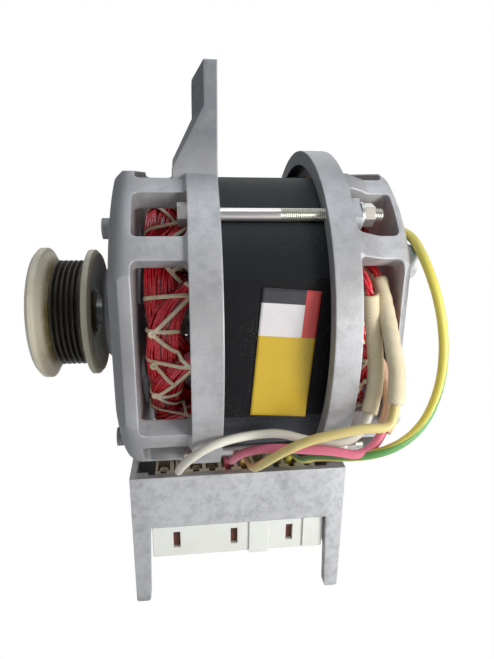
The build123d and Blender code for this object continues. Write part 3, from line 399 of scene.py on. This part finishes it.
def worn_pulley():
    p = Paint("worn_pulley", (0.065, 0.055, 0.042), 0.45, 0.8)
    bright = p.noise(160, 5, 0.65, (3.0, 1.0, 1.0))
    p.blend(p.ramp(bright, 0.48, 0.66, 0.0, 0.6), (0.115, 0.095, 0.070))
    # Painted light: the ribbed core lighter towards the bottom, a sheen from light below.
    p.blend(p.ramp(p.axis("Z"), -112 * MM, -122 * MM, 0.0, 0.55), (0.36, 0.34, 0.31))
    p.blend(p.ramp(p.noise(38, 4), 0.55, 0.72, 0.0, 0.7), (0.13, 0.105, 0.06))
    p.gloss(bright, 0.34, 0.6)
    p.bump(bright, 0.3, 0.15 * MM)
    return p.material


def aged_nylon():
    """Yellowed nylon with an oily stain beside the ribs, and on the side by the motor black grease with
    painted shade, dark at the top and fading to plain nylon lower down as painted light from below.
    """
    p = Paint("aged_nylon", (0.60, 0.54, 0.41), 0.4, 0.0, Subsurface_Weight=0.06, Specular_IOR_Level=0.45)
    p.soft_edges(1.4 * MM)
    p.blend(p.ramp(p.noise(40, 5), 0.42, 0.7, 0.0, 0.7), (0.68, 0.63, 0.51))
    grime = p.noise(85, 6, 0.72)
    p.blend(p.ramp(grime, 0.52, 0.7, 0.0, 0.6), (0.38, 0.31, 0.16))
    ring = p.radius()
    patchy = p.ramp(p.noise(60, 4, 0.6), 0.3, 0.5, 0.6, 1.0)
    near_ribs = p.math("MULTIPLY", p.ramp(ring, 31.0 * MM, 26.5 * MM), patchy)
    inner_side = p.ramp(p.axis("X"), -72 * MM, -70.5 * MM, 0.15, 1.0)
    p.blend(p.math("MULTIPLY", near_ribs, inner_side), (0.150, 0.125, 0.040))
    # Grease and painted shade: the motor side dark above, fading to plain nylon lower down where light comes
    # up from below.
    above = p.ramp(p.axis("Z"), -94 * MM, -114 * MM, 1.0, 0.0)
    middle = p.ramp(ring, 28 * MM, 22 * MM, 0.55, 1.0)
    motor_side = p.ramp(p.facing("X"), 0.55, 0.8)
    grease_and_shade = p.math("MULTIPLY", motor_side, p.math("MULTIPLY", above, middle))
    p.blend(p.math("MULTIPLY", grease_and_shade, p.ramp(p.axis("X"), -60 * MM, -57 * MM)), (0.022, 0.018, 0.012))
    p.gloss(grime, 0.30, 0.55)
    p.bump(p.noise(500, 4), 0.2, 0.12 * MM)
    return p.material


def moulded(name, color, shade, roughness=0.38):
    p = Paint(name, color, roughness, 0.0, Subsurface_Weight=0.06, Specular_IOR_Level=0.45)
    p.soft_edges(0.4 * MM)
    p.blend(p.ramp(p.noise(60, 5), 0.45, 0.75, 0.0, 0.5), shade)
    p.blend(p.ramp(p.noise(700, 3), 0.66, 0.74, 0.0, 0.35), (0.35, 0.31, 0.25))
    p.gloss(p.noise(110, 4), roughness - 0.06, roughness + 0.14)
    p.bump(p.noise(650, 3), 0.12, 0.1 * MM)
    return p.material


def lead_skin(name, color, dirt):
    p = Paint(name, color, 0.42, 0.0, Subsurface_Weight=0.05, Specular_IOR_Level=0.45)
    p.blend(p.ramp(p.noise(55, 4), 0.5, 0.75, 0.0, 0.55), dirt)
    p.gloss(p.noise(160, 3), 0.34, 0.52)
    p.bump(p.noise(900, 3), 0.12, 0.08 * MM)
    return p.material


def sleeving(name, color, shade):
    p = Paint(name, color, 0.6, 0.0, Specular_IOR_Level=0.35)
    p.blend(p.ramp(p.noise(90, 4), 0.42, 0.7, 0.0, 0.7), shade)
    weave = p.node("TexWave", wave_type="BANDS", bands_direction="DIAGONAL")
    weave.inputs["Scale"].default_value = 420
    p.link(p.place, weave.inputs["Vector"])
    p.bump(weave.outputs["Fac"], 0.35, 0.2 * MM)
    return p.material


def tinned_metal():
    p = Paint("tinned_metal", (0.62, 0.58, 0.48), 0.34, 0.9)
    p.blend(p.ramp(p.noise(220, 4), 0.5, 0.7, 0.0, 0.6), (0.42, 0.36, 0.25))
    p.bump(p.noise(700, 3), 0.2, 0.08 * MM)
    return p.material


def plain_rubber():
    p = Paint("seal_rubber", (0.02, 0.02, 0.021), 0.6)
    p.blend(p.ramp(p.noise(300, 3), 0.5, 0.7, 0.0, 0.5), (0.05, 0.048, 0.045))
    p.bump(p.noise(900, 3), 0.2, 0.08 * MM)
    return p.material


def slot_film():
    p = Paint("slot_film", (0.74, 0.66, 0.50), 0.4, 0.0, Subsurface_Weight=0.1)
    p.blend(p.ramp(p.noise(120, 4), 0.45, 0.7, 0.0, 0.7), (0.82, 0.77, 0.64))
    p.bump(p.noise(400, 3), 0.2, 0.1 * MM)
    return p.material


def dress(material, *names):
    """Gives CAD nodes a finished material."""
    for name in names:
        mesh = nodes[name].data
        mesh.materials.clear()
        mesh.materials.append(material)


# Mesh helpers

def add_mesh(name, verts, faces, material, smooth=True, slot=None):
    mesh = bpy.data.meshes.new(name)
    mesh.from_pydata([tuple(v) for v in verts], [], faces)
    if smooth:
        mesh.shade_smooth()
    mesh.materials.append(material)
    piece = bpy.data.objects.new(name, mesh)
    bpy.context.scene.collection.objects.link(piece)
    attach(piece, "frame")
    return piece


def unit(rows):
    return rows / np.linalg.norm(rows, axis=1)[:, None]


def skin_faces(rows, sides, closed=False):
    """Faces round rows of vertices, with a cap at each end unless the rows close on themselves."""
    faces = []
    for row in range(rows if closed else rows - 1):
        a, b = row * sides, (row + 1) % rows * sides
        faces += [(a + k, a + (k + 1) % sides, b + (k + 1) % sides, b + k) for k in range(sides)]
    if not closed:
        faces.append(tuple(range(sides))[::-1])
        faces.append(tuple((rows - 1) * sides + k for k in range(sides)))
    return faces


def path_frame(path, hint):
    """Unit vectors along a path and two across it. hint is a direction that the path never takes."""
    way = unit(np.gradient(path, axis=0))
    side = unit(np.cross(way, hint))
    return way, side, np.cross(side, way)


def tube_mesh(path, wide, flat, out_dirs, sides, closed=False):
    """Vertices and faces of a tube along a path. wide is its half width, flat its half height."""
    count = len(path)
    if closed:
        tangent = np.roll(path, -1, 0) - np.roll(path, 1, 0)
    else:
        tangent = np.gradient(path, axis=0)
    tangent = unit(tangent)
    up = unit(out_dirs - (out_dirs * tangent).sum(1)[:, None] * tangent)
    side = np.cross(tangent, up)
    turn = np.arange(sides) * 2 * math.pi / sides
    across = np.broadcast_to(wide * np.cos(turn), (count, sides))[..., None]
    outwards = np.broadcast_to(flat * np.sin(turn), (count, sides))[..., None]
    verts = (path[:, None] + side[:, None] * across + up[:, None] * outwards).reshape(-1, 3)
    return verts, skin_faces(count, sides, closed)


def gather(tubes):
    """Joins lists of vertices and faces into one."""
    verts, faces = [], []
    first = 0
    for some_verts, some_faces in tubes:
        verts.append(some_verts)
        faces += [tuple(first + k for k in face) for face in some_faces]
        first += len(some_verts)
    return np.concatenate(verts), faces


def to_frame(points):
    """Rows of axial place, radius and angle, as points in the frame in metres."""
    x, radius, angle = points.T
    return np.stack([x, radius * np.cos(angle) + SHAFT[1], radius * np.sin(angle) + SHAFT[2]], 1) * MM


def outward(points):
    """Unit vectors away from the shaft line."""
    angle = points[:, 2]
    return np.stack([np.zeros_like(angle), np.cos(angle), np.sin(angle)], 1)


# End windings, coil bundles that lap round the stator, tied with cord

class Winding:
    """One end winding. face_x is the stack's face, way is -1 towards the pulley and 1 away from it."""

    bundles = 12
    half_span = math.radians(35)
    outer_r, inner_r = 55.6, 46.2
    half_deep, half_thick = 6.0, 3.9
    root = 1.5
    wire_r = 0.43
    wire_count = 44
    stray_count = 7
    heart_deep_share, heart_thick_share = 0.86, 0.82
    cord_wide, cord_flat, tie_flat = 0.85, 0.42, 0.45
    cord_stand = 0.7
    tie_lift = 0.25
    tie_near, tie_far = 5.5, 2.6
    loops = 24
    knot_r, knot_lift, knot_wide, knot_flat = 1.0, 0.35, 0.8, 0.55

    def __init__(self, name, face_x, way, reach, first_angle, seed):
        self.name, self.face_x, self.way, self.reach = name, face_x, way, reach
        self.first_angle = first_angle
        self.random = random.Random(seed)

    def centre(self, share):
        """Axial place and radius of a bundle's middle at a share of -1 to 1 along its span."""
        rise = 1 - np.abs(share) ** 3.4
        x = self.face_x + self.way * (self.root + (self.reach - self.half_deep - self.root) * rise)
        radius = (self.outer_r + self.inner_r) / 2 - (self.outer_r - self.inner_r) / 2 * share
        return x, radius

    def bundle_angle(self, index):
        return self.first_angle + index * 2 * math.pi / self.bundles

    def size(self, share):
        """Half depth and half thickness, less where the wires enter the slots."""
        ease = 0.62 + 0.38 * (1 - np.abs(share) ** 4)
        return self.half_deep * ease, self.half_thick * ease

    def strand(self, index, spin, fill, wander, samples=22):
        share = np.linspace(-1, 1, samples)
        x, radius = self.centre(share)
        deep, thick = self.size(share)
        phase = self.random.uniform(0, 2 * math.pi)
        twist = self.random.uniform(-0.5, 0.5)
        around = spin + twist * share + wander * np.sin(3 * share + phase)
        angle = self.bundle_angle(index) + self.half_span * share
        x = x + self.way * fill * deep * np.cos(around)
        return np.stack([x, radius + fill * thick * np.sin(around), angle], 1)

    def wires(self):
        tubes = []
        for index in range(self.bundles):
            for k in range(self.wire_count):
                spin = 2 * math.pi * (k + self.random.uniform(-0.35, 0.35)) / self.wire_count
                fill = self.random.uniform(0.93, 1.0)
                tubes.append(self.one_tube(self.strand(index, spin, fill, 0.05)))
            for k in range(self.stray_count):
                spin = self.random.uniform(0, 2 * math.pi)
                tubes.append(self.one_tube(self.strand(index, spin, 1.05, 0.45)))
        return gather(tubes)

    def one_tube(self, points):
        return tube_mesh(to_frame(points), self.wire_r * MM, self.wire_r * MM, outward(points), 5)

    def cores(self):
        """A filled heart in each bundle, so that no light shows between its wires; it is drawn in a darker
        copy of the enamel, painted shade.
        """
        tubes = []
        for index in range(self.bundles):
            share = np.linspace(-1, 1, 18)
            x, radius = self.centre(share)
            angle = self.bundle_angle(index) + self.half_span * share
            points = np.stack([x, radius, angle], 1)
            deep, thick = self.size(share)
            wide = self.heart_deep_share * deep[:, None] * MM
            flat = self.heart_thick_share * thick[:, None] * MM
            tubes.append(tube_mesh(to_frame(points), wide, flat, outward(points), 16))
        return gather(tubes)

    def hull(self, angle):
        """Convex outline, in axial place and radius, of the bundles that pass an angle."""
        spots = []
        for index in range(self.bundles):
            gap = (angle - self.bundle_angle(index) + math.pi) % (2 * math.pi) - math.pi
            share = gap / self.half_span
            if abs(share) > 0.97:
                continue
            x, radius = self.centre(np.array(share))
            deep, thick = self.size(np.array(share))
            for turn in np.linspace(0, 2 * math.pi, 20, endpoint=False):
                place = x + (deep + self.cord_stand) * math.cos(turn)
                height = radius + (thick + self.cord_stand) * math.sin(turn)
                spots.append((float(place), float(height)))
        spots.sort()
        chains = []
        for order in (spots, spots[::-1]):
            chain = []
            for spot in order:
                while len(chain) > 1 and cross_2d(chain[-2], chain[-1], spot) <= 0:
                    chain.pop()
                chain.append(spot)
            chains.append(chain[:-1])
        return chains[0] + chains[1]

    def outer_radius(self, angle, x):
        """Radius of the outline's outer side at an axial place."""
        outline = self.hull(angle)
        best = 0.0
        for one, two in zip(outline, outline[1:] + outline[:1]):
            low, high = min(one[0], two[0]), max(one[0], two[0])
            if low <= x <= high and high - low > 1e-6:
                best = max(best, one[1] + (two[1] - one[1]) * (x - one[0]) / (two[0] - one[0]))
        return best if best else max(spot[1] for spot in outline)

    def lacing(self):
        """Taut loops round the winding with slanting ties between them and a knot at each crossing."""
        tubes = []
        near_x = self.face_x + self.way * self.tie_near
        far_x = self.face_x + self.way * (self.reach - self.tie_far)
        step = 2 * math.pi / self.loops
        for k in range(self.loops):
            angle = self.first_angle + (k + self.random.uniform(-0.12, 0.12)) * 2 * math.pi / self.loops
            lean = self.random.uniform(-0.05, 0.05)
            outline = resample_closed(np.array(self.hull(angle)), 30)
            slant = lean * (outline[:, 0] - self.face_x) / self.reach
            points = np.column_stack([outline, angle + slant])
            away = outline - outline.mean(0)
            out = np.stack([away[:, 0], away[:, 1] * np.cos(angle), away[:, 1] * np.sin(angle)], 1)
            wide, flat = self.cord_wide * MM, self.cord_flat * MM
            tubes.append(tube_mesh(to_frame(points), wide, flat, out, 8, closed=True))
            ends = [(angle, near_x, angle + step, far_x)]
            if k % 2:
                ends = [(angle, far_x, angle + step, near_x)]
            if k % 3 == 0:
                ends.append((angle, ends[0][3], angle + step / 2, (near_x + far_x) / 2))
            for from_angle, from_x, to_angle, to_x in ends:
                share = np.linspace(0, 1, 14)
                angles = from_angle + (to_angle - from_angle) * share
                places = from_x + (to_x - from_x) * share
                radii = np.array([self.outer_radius(a, x) for a, x in zip(angles, places)]) + self.tie_lift
                points = np.stack([places, radii, angles], 1)
                tubes.append(tube_mesh(to_frame(points), wide, self.tie_flat * MM, outward(points), 8))
                tubes.append(self.knot(points[0]))
        return gather(tubes)

    def knot(self, spot):
        """A small flattened wrap of cord."""
        turn = np.linspace(0, 2 * math.pi, 10, endpoint=False)
        x = spot[0] + self.knot_r * np.cos(turn)
        radius = np.full_like(turn, spot[1] + self.knot_lift)
        points = np.stack([x, radius, spot[2] + self.knot_r * np.sin(turn) / spot[1]], 1)
        wide, flat = self.knot_wide * MM, self.knot_flat * MM
        return tube_mesh(to_frame(points), wide, flat, outward(points), 6, closed=True)


def cross_2d(a, b, c):
    """Above 0 where c lies to the left of the line from a to b."""
    return (b[0] - a[0]) * (c[1] - a[1]) - (b[1] - a[1]) * (c[0] - a[0])


def resample_closed(points, count):
    """Evenly spaced points round a closed outline."""
    ring = np.vstack([points, points[:1]])
    steps = np.concatenate([[0], np.cumsum(np.linalg.norm(np.diff(ring, axis=0), axis=1))])
    want = np.linspace(0, steps[-1], count, endpoint=False)
    return np.stack([np.interp(want, steps, ring[:, k]) for k in range(2)], 1)


def add_windings():
    bright = enamelled_wire("red_enamel", (0.72, 0.008, 0.016), (0.92, 0.050, 0.075))
    # Painted shade: a darker copy of the red enamel for the bundles' hearts, standing for the shade between
    # the wires.
    deep = enamelled_wire("red_enamel_painted_shade", (0.20, 0.004, 0.007), (0.30, 0.008, 0.012))
    cord = lacing_cord()
    drive = Winding("winding_drive_wires", STACK_START, -1, 24.0, math.radians(8), 7)
    rear = Winding("winding_rear_wires", STACK_END, 1, 19.8, math.radians(20), 11)
    for winding, cad in ((drive, "winding_drive"), (rear, "winding_rear")):
        wires = add_mesh(winding.name, *winding.wires(), bright, slot="winding_wire")
        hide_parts(cad, cad + "_turns")
        add_mesh(winding.name + "_heart", *winding.cores(), deep, slot="winding_wire")
        add_mesh(winding.name + "_lacing", *winding.lacing(), cord, slot="insulation_film")
    add_lead_outs(bright)


# Leads and their sleeves, in millimetres from the shaft line; a lead is its connector way and its route

SLEEVE_R = 3.1
SLEEVE_BORE_R = 2.25
SLEEVE_RIPPLE_SHARE = 0.025
FRAY = 0.5
LEAD_R = 1.8
EXIT_REACH = 6.0
WAY_PITCH = 8.1
FIRST_WAY_X = -26.5 + WAY_PITCH / 2
WAY_Y = -16.5
UNDER_RING = [(-38.5, -67.3), (-31.5, -70.2), (-24.0, -71.6)]
UNDER_STACK = [(-38.5, -63.5), (-31.5, -66.8), (-24.0, -70.0)]
INTO_WAY = [(WAY_Y, -73.4), (WAY_Y, -80.0)]
SLEEVES = {
    "white": [(61.2, -64.0, 21.5), (62.4, -64.2, 14.0), (63.2, -66.5, 5.0), (63.4, -70.5, -6.0),
              (62.6, -73.4, -15.5), (60.3, -75.2, -23.0)],
    "yellow": [(67.0, -56.8, 26.0), (67.6, -61.6, 19.5), (67.6, -68.6, 11.5), (67.6, -75.6, 2.5),
               (68.4, -80.2, -7.0), (67.0, -83.0, -16.0)],
    "pink": [(66.0, -63.2, -5.5), (69.0, -67.5, -11.0), (69.9, -72.4, -17.0), (68.8, -76.2, -23.5),
             (65.0, -79.0, -29.0)],
}
LEADS = {
    "white": (1, [(53.4, -77.0, -33.2), (46.2, -76.2, -35.2), (37.0, -72.0, -35.2), (27.5, -66.8, -34.2),
                  (17.5, -65.4, -35.2), (8.0, -66.4, -36.0), (-1.0, -68.0, -38.0), (-8.5, -65.2, -44.5),
                  (-13.0, -57.0, -54.0), (-14.3, -47.5, -61.8)]),
    "pink": (4, [(54.8, -82.6, -37.0), (45.4, -80.6, -35.4), (35.0, -76.5, -36.6), (25.0, -70.2, -39.0),
                 (17.0, -64.4, -42.8), (12.2, -57.0, -49.0), (10.2, -47.5, -57.4)]),
    "yellow": (5, [(62.8, -86.2, -23.8), (55.4, -86.0, -23.4), (46.0, -84.6, -25.8), (36.5, -82.0, -29.2),
                   (28.5, -78.6, -34.8), (22.5, -72.6, -42.6), (19.2, -64.2, -50.8), (18.2, -54.5, -58.0)]),
    "earth": (8, [(80.2, -54.0, 42.0), (80.4, -61.6, 38.0), (81.6, -68.0, 31.5), (84.2, -71.6, 22.5),
                  (86.8, -73.4, 12.0), (87.9, -75.4, 0.5), (86.4, -78.2, -11.0), (81.4, -81.8, -21.8),
                  (74.6, -84.2, -28.6), (66.6, -85.4, -33.0), (58.0, -83.6, -36.4), (50.6, -78.6, -39.6),
                  (45.8, -71.4, -43.4), (42.9, -61.5, -49.4), (42.4, -50.0, -58.0)]),
}
EARTH_EXIT = [(79.6, -40.13, 43.67), (79.6, -46.13, 43.67)]
STRIPE_SIDES = range(8, 14)
STRIPE_TURN = 0.04


def lead_points(name):
    """A lead's whole route, from its sleeve or its tag down into its way of the connector."""
    way, route = LEADS[name]
    x = FIRST_WAY_X + way * WAY_PITCH
    if name == "earth":
        start = EARTH_EXIT
    else:
        last, end = (Vector(p) for p in SLEEVES[name][-2:])
        start = [tuple(end), tuple(end + (end - last).normalized() * EXIT_REACH)]
    entry = UNDER_RING if name == "white" else UNDER_STACK
    return start + route + [(x, y, z) for y, z in entry + INTO_WAY]


def spline(name, points, radius, material):
    curve = bpy.data.curves.new(name, "CURVE")
    curve.dimensions = "3D"
    line = curve.splines.new("NURBS")
    line.points.add(len(points) - 1)
    for spot, point in zip(line.points, points):
        spot.co = (*from_shaft(*point), 1)
    line.order_u = 3
    line.use_endpoint_u = True
    line.resolution_u = 10
    curve.bevel_depth = radius * MM
    curve.bevel_resolution = 5
    curve.use_fill_caps = True
    curve.materials.append(material)
    piece = bpy.data.objects.new(name, curve)
    bpy.context.scene.collection.objects.link(piece)
    return piece


def line_points(points):
    """Points along the route's own spline, read from a copy with no bevel."""
    piece = spline("route", points, 0, bpy.data.materials.new("none"))
    mesh = bpy.data.meshes.new_from_object(piece.evaluated_get(bpy.context.evaluated_depsgraph_get()))
    path = np.array([v.co for v in mesh.vertices])
    bpy.data.objects.remove(piece)
    bpy.data.meshes.remove(mesh)
    return path


def add_sleeve(name, material):
    """Open sleeving with a wall and a frayed end."""
    path = line_points(SLEEVES[name])
    way, side, up = path_frame(path, (1.0, 0.2, 0.1))
    sides = 28
    verts = []
    rows = [(row, SLEEVE_R * (1 + SLEEVE_RIPPLE_SHARE * math.sin(1.1 * row))) for row in range(len(path))]
    rows += [(row, SLEEVE_BORE_R) for row in reversed(range(len(path)))]
    rng = random.Random(len(path))
    for order, (row, radius) in enumerate(rows):
        for k in range(sides):
            turn = 2 * math.pi * k / sides
            fray = rng.uniform(0, FRAY) if order in (len(path) - 1, len(path)) else 0.0
            spot = path[row] + (side[row] * math.cos(turn) + up[row] * math.sin(turn)) * radius * MM
            verts.append(spot - way[row] * fray * MM)
    piece = add_mesh("sleeve_" + name + "_woven", verts, skin_faces(len(rows), sides, closed=True), material)
    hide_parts("sleeve_" + name)
    return piece


LEAD_OUT_R = 0.7
LEAD_OUT_SPREAD = 0.85
LEAD_OUTS = {
    "white": [(62.4, -64.2, 14.0), (61.2, -64.0, 21.5), (60.2, -61.4, 26.6), (59.4, -57.0, 29.6),
              (59.0, -52.0, 30.6)],
    "yellow": [(67.6, -61.6, 19.5), (67.0, -56.8, 26.0), (65.8, -53.6, 30.0), (64.0, -50.4, 32.4),
               (62.6, -46.6, 33.4)],
    "pink": [(66.4, -65.0, -8.0), (66.0, -63.2, -5.5), (64.8, -61.0, -2.4), (63.2, -58.0, 0.0),
             (62.0, -54.0, 1.4)],
}


def add_lead_outs(material):
    """Three enamelled wires that leave the coils and run into each sleeve."""
    for name, points in LEAD_OUTS.items():
        path = line_points(points)
        _, side, up = path_frame(path, (0.0, 0.3, 1.0))
        turn = np.linspace(0, 2.2, len(path))
        tubes = []
        for third in range(3):
            angle = (turn + third * 2 * math.pi / 3)[:, None]
            strand = path + (side * np.cos(angle) + up * np.sin(angle)) * LEAD_OUT_SPREAD * MM
            tubes.append(tube_mesh(strand, LEAD_OUT_R * MM, LEAD_OUT_R * MM, up, 8))
        add_mesh("lead_out_" + name, *gather(tubes), material, slot="winding_wire")


def striped_lead():
    """Yellow skin with a green stripe that turns slowly round the earth lead."""
    path = line_points(lead_points("earth"))
    _, up, side = path_frame(path, (0.0, 1.0, 0.0))
    sides = 20
    verts = []
    for row, spot in enumerate(path):
        for k in range(sides):
            turn = 2 * math.pi * k / sides + STRIPE_TURN * row
            verts.append(spot + (up[row] * math.cos(turn) - side[row] * math.sin(turn)) * LEAD_R * MM)
    yellow = lead_skin("earth_yellow", (0.66, 0.56, 0.10), (0.50, 0.42, 0.12))
    green = lead_skin("earth_green", (0.10, 0.30, 0.08), (0.16, 0.30, 0.10))
    piece = add_mesh("lead_earth_striped", verts, skin_faces(len(path), sides), yellow, slot="earth_lead")
    piece.data.materials.append(green)
    caps_from = (len(path) - 1) * sides
    for face in piece.data.polygons:
        if face.index < caps_from and face.index % sides in STRIPE_SIDES:
            face.material_index = 1
    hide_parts("lead_earth")


def add_leads():
    cream = sleeving("cream_sleeving", (0.62, 0.52, 0.33), (0.70, 0.62, 0.45))
    flesh = sleeving("flesh_sleeving", (0.62, 0.38, 0.26), (0.70, 0.50, 0.38))
    skins = {
        "white": lead_skin("white_lead", (0.66, 0.62, 0.52), (0.52, 0.47, 0.37)),
        "yellow": lead_skin("yellow_lead", (0.62, 0.49, 0.19), (0.48, 0.36, 0.13)),
        "pink": lead_skin("pink_lead", (0.72, 0.17, 0.25), (0.58, 0.14, 0.19)),
    }
    for name, skin in skins.items():
        sleeve = add_sleeve(name, flesh if name == "pink" else cream)
        points = lead_points(name)
        lead = spline("lead_" + name + "_skin", points, LEAD_R, skin)
        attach(lead, "frame")
        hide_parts("lead_" + name)
        from_shaft(*points[0])
    striped_lead()


# Brown strips behind the slots of the plug's body

SLOT_X = (-16.9, 12.8, 42.1)
SLOT_Z = (-121.4, -110.2)
STRIP_HALF = 2.8
STRIP_Y = (-24.35, -23.75)


def add_slot_strips():
    """A thin dark strip against the inside of the front wall shows through each slot."""
    brown = moulded("brown_strip", (0.085, 0.022, 0.014), (0.15, 0.05, 0.03), 0.45)
    front, back = STRIP_Y
    verts, faces = [], []
    for x in SLOT_X:
        first = len(verts)
        for z in SLOT_Z:
            corners = [(-STRIP_HALF, front), (STRIP_HALF, front), (STRIP_HALF, back), (-STRIP_HALF, back)]
            verts += [from_shaft(x + across, y, z) for across, y in corners]
        sides = [(k, (k + 1) % 4, (k + 1) % 4 + 4, k + 4) for k in range(4)]
        faces += [tuple(first + k for k in face) for face in [(3, 2, 1, 0), (4, 5, 6, 7), *sides]]
    add_mesh("slot_strips", verts, faces, brown, smooth=False, slot="white_plastic")


# Sticker on the front flat, plain blocks of colour

LABEL_MIDDLE = (28.6, -64.25, -1.8)
LABEL_HALF_WIDE = 11.3
LABEL_HALF_HIGH = 26.0
LABEL_LEAN = math.radians(-4.5)
LABEL_FILM = 0.12
LABEL_CURL = 0.1
LABEL_COLUMNS = 20
LABEL_ROWS = 36
YELLOW_ROWS = 23
WHITE_ROWS = 32
WHITE_COLUMNS = 15
BLOCK_COLORS = {
    "yellow": (0.50, 0.33, 0.02),
    "white": (0.60, 0.56, 0.55),
    "red": (0.55, 0.06, 0.05),
    "dark": (0.035, 0.033, 0.035),
}


def block_at(column, row):
    """Which block of colour covers a cell of the sticker, counted from its lower left corner."""
    if row < YELLOW_ROWS:
        return "yellow"
    if column >= WHITE_COLUMNS:
        return "red"
    return "white" if row < WHITE_ROWS else "dark"


def sticker_film(tone, color):
    p = Paint("sticker_" + tone, color, 0.4, 0.0, Specular_IOR_Level=0.4)
    p.blend(p.ramp(p.noise(90, 4), 0.5, 0.75, 0.0, 0.3), tuple(0.75 * c for c in color))
    p.gloss(p.noise(200, 3), 0.26, 0.44)
    return p.material


def add_label():
    """A plain sticker, put on a little crooked. It carries no words or signs."""
    verts, faces = [], []
    for row in range(LABEL_ROWS + 1):
        for column in range(LABEL_COLUMNS + 1):
            u = (column / LABEL_COLUMNS * 2 - 1) * LABEL_HALF_WIDE
            v = (row / LABEL_ROWS * 2 - 1) * LABEL_HALF_HIGH
            lift = LABEL_FILM * (abs(u) / LABEL_HALF_WIDE) ** 6 + LABEL_CURL * (abs(v) / LABEL_HALF_HIGH) ** 8
            x = LABEL_MIDDLE[0] + u * math.cos(LABEL_LEAN) - v * math.sin(LABEL_LEAN)
            z = LABEL_MIDDLE[2] + u * math.sin(LABEL_LEAN) + v * math.cos(LABEL_LEAN)
            verts.append(from_shaft(x, LABEL_MIDDLE[1] - lift, z))
    for row in range(LABEL_ROWS):
        for column in range(LABEL_COLUMNS):
            a = row * (LABEL_COLUMNS + 1) + column
            faces.append((a, a + 1, a + LABEL_COLUMNS + 2, a + LABEL_COLUMNS + 1))
    films = [sticker_film(tone, color) for tone, color in BLOCK_COLORS.items()]
    piece = add_mesh("blank_sticker", verts, faces, films[0], slot="black_painted_steel")
    for film in films[1:]:
        piece.data.materials.append(film)
    tones = list(BLOCK_COLORS)
    for face in piece.data.polygons:
        row, column = divmod(face.index, LABEL_COLUMNS)
        face.material_index = tones.index(block_at(column, row))
    thick = piece.modifiers.new("film", "SOLIDIFY")
    thick.thickness = LABEL_FILM * MM
    thick.offset = 1


def finish_nodes():
    """Gives every CAD node that stays in view its material."""
    dress(cast_aluminium(), "drive_end_shield", "rear_end_shield", "connector_bracket")
    dress(black_laminations(), "stator_core")
    dress(zinc_steel(), "bolt_washers", "bolt_nuts", "bracket_screws", "earth_screw")
    dress(threaded_zinc(), "through_bolts")
    dress(turned_steel("shaft_steel", (0.46, 0.45, 0.43), 0.34), "shaft")
    bright_steel = turned_steel("bearing_steel", (0.62, 0.63, 0.64), 0.24)
    dress(bright_steel, "bearing_drive_outer", "bearing_drive_inner", "bearing_rear_outer",
          "bearing_rear_inner", "preload_washer")
    dress(turned_steel("rotor_steel", (0.30, 0.30, 0.31), 0.45), "rotor_core")
    dress(turned_steel("rotor_aluminium", (0.66, 0.67, 0.69), 0.45), "rotor_ring_drive", "rotor_ring_rear")
    dress(worn_pulley(), "pulley_core")
    dress(aged_nylon(), "pulley_flange_outer", "pulley_flange_inner")
    dress(moulded("ivory_plastic", (0.64, 0.58, 0.44), (0.54, 0.47, 0.33)), "connector_housing")
    dress(moulded("white_plastic", (0.72, 0.71, 0.65), (0.62, 0.59, 0.50)), "connector_header")
    dress(moulded("protector_sleeve", (0.82, 0.78, 0.68), (0.70, 0.63, 0.50), 0.55), "thermal_protector")
    dress(tinned_metal(), "crimp_terminals", "header_pins", "earth_terminal")
    dress(plain_rubber(), "bearing_drive_seals", "bearing_rear_seals")
    dress(slot_film(), "slot_liners")
    dress(enamelled_wire("slot_enamel", (0.36, 0.010, 0.015), (0.50, 0.03, 0.04)), "slot_wires")


add_camera()
add_world()
add_floor()
for lamp_name, lamp_values in LAMPS.items():
    add_area(lamp_name, *lamp_values)
bpy.context.scene.view_settings.view_transform = "Standard"
finish_nodes()
add_windings()
add_leads()
add_slot_strips()
add_label()
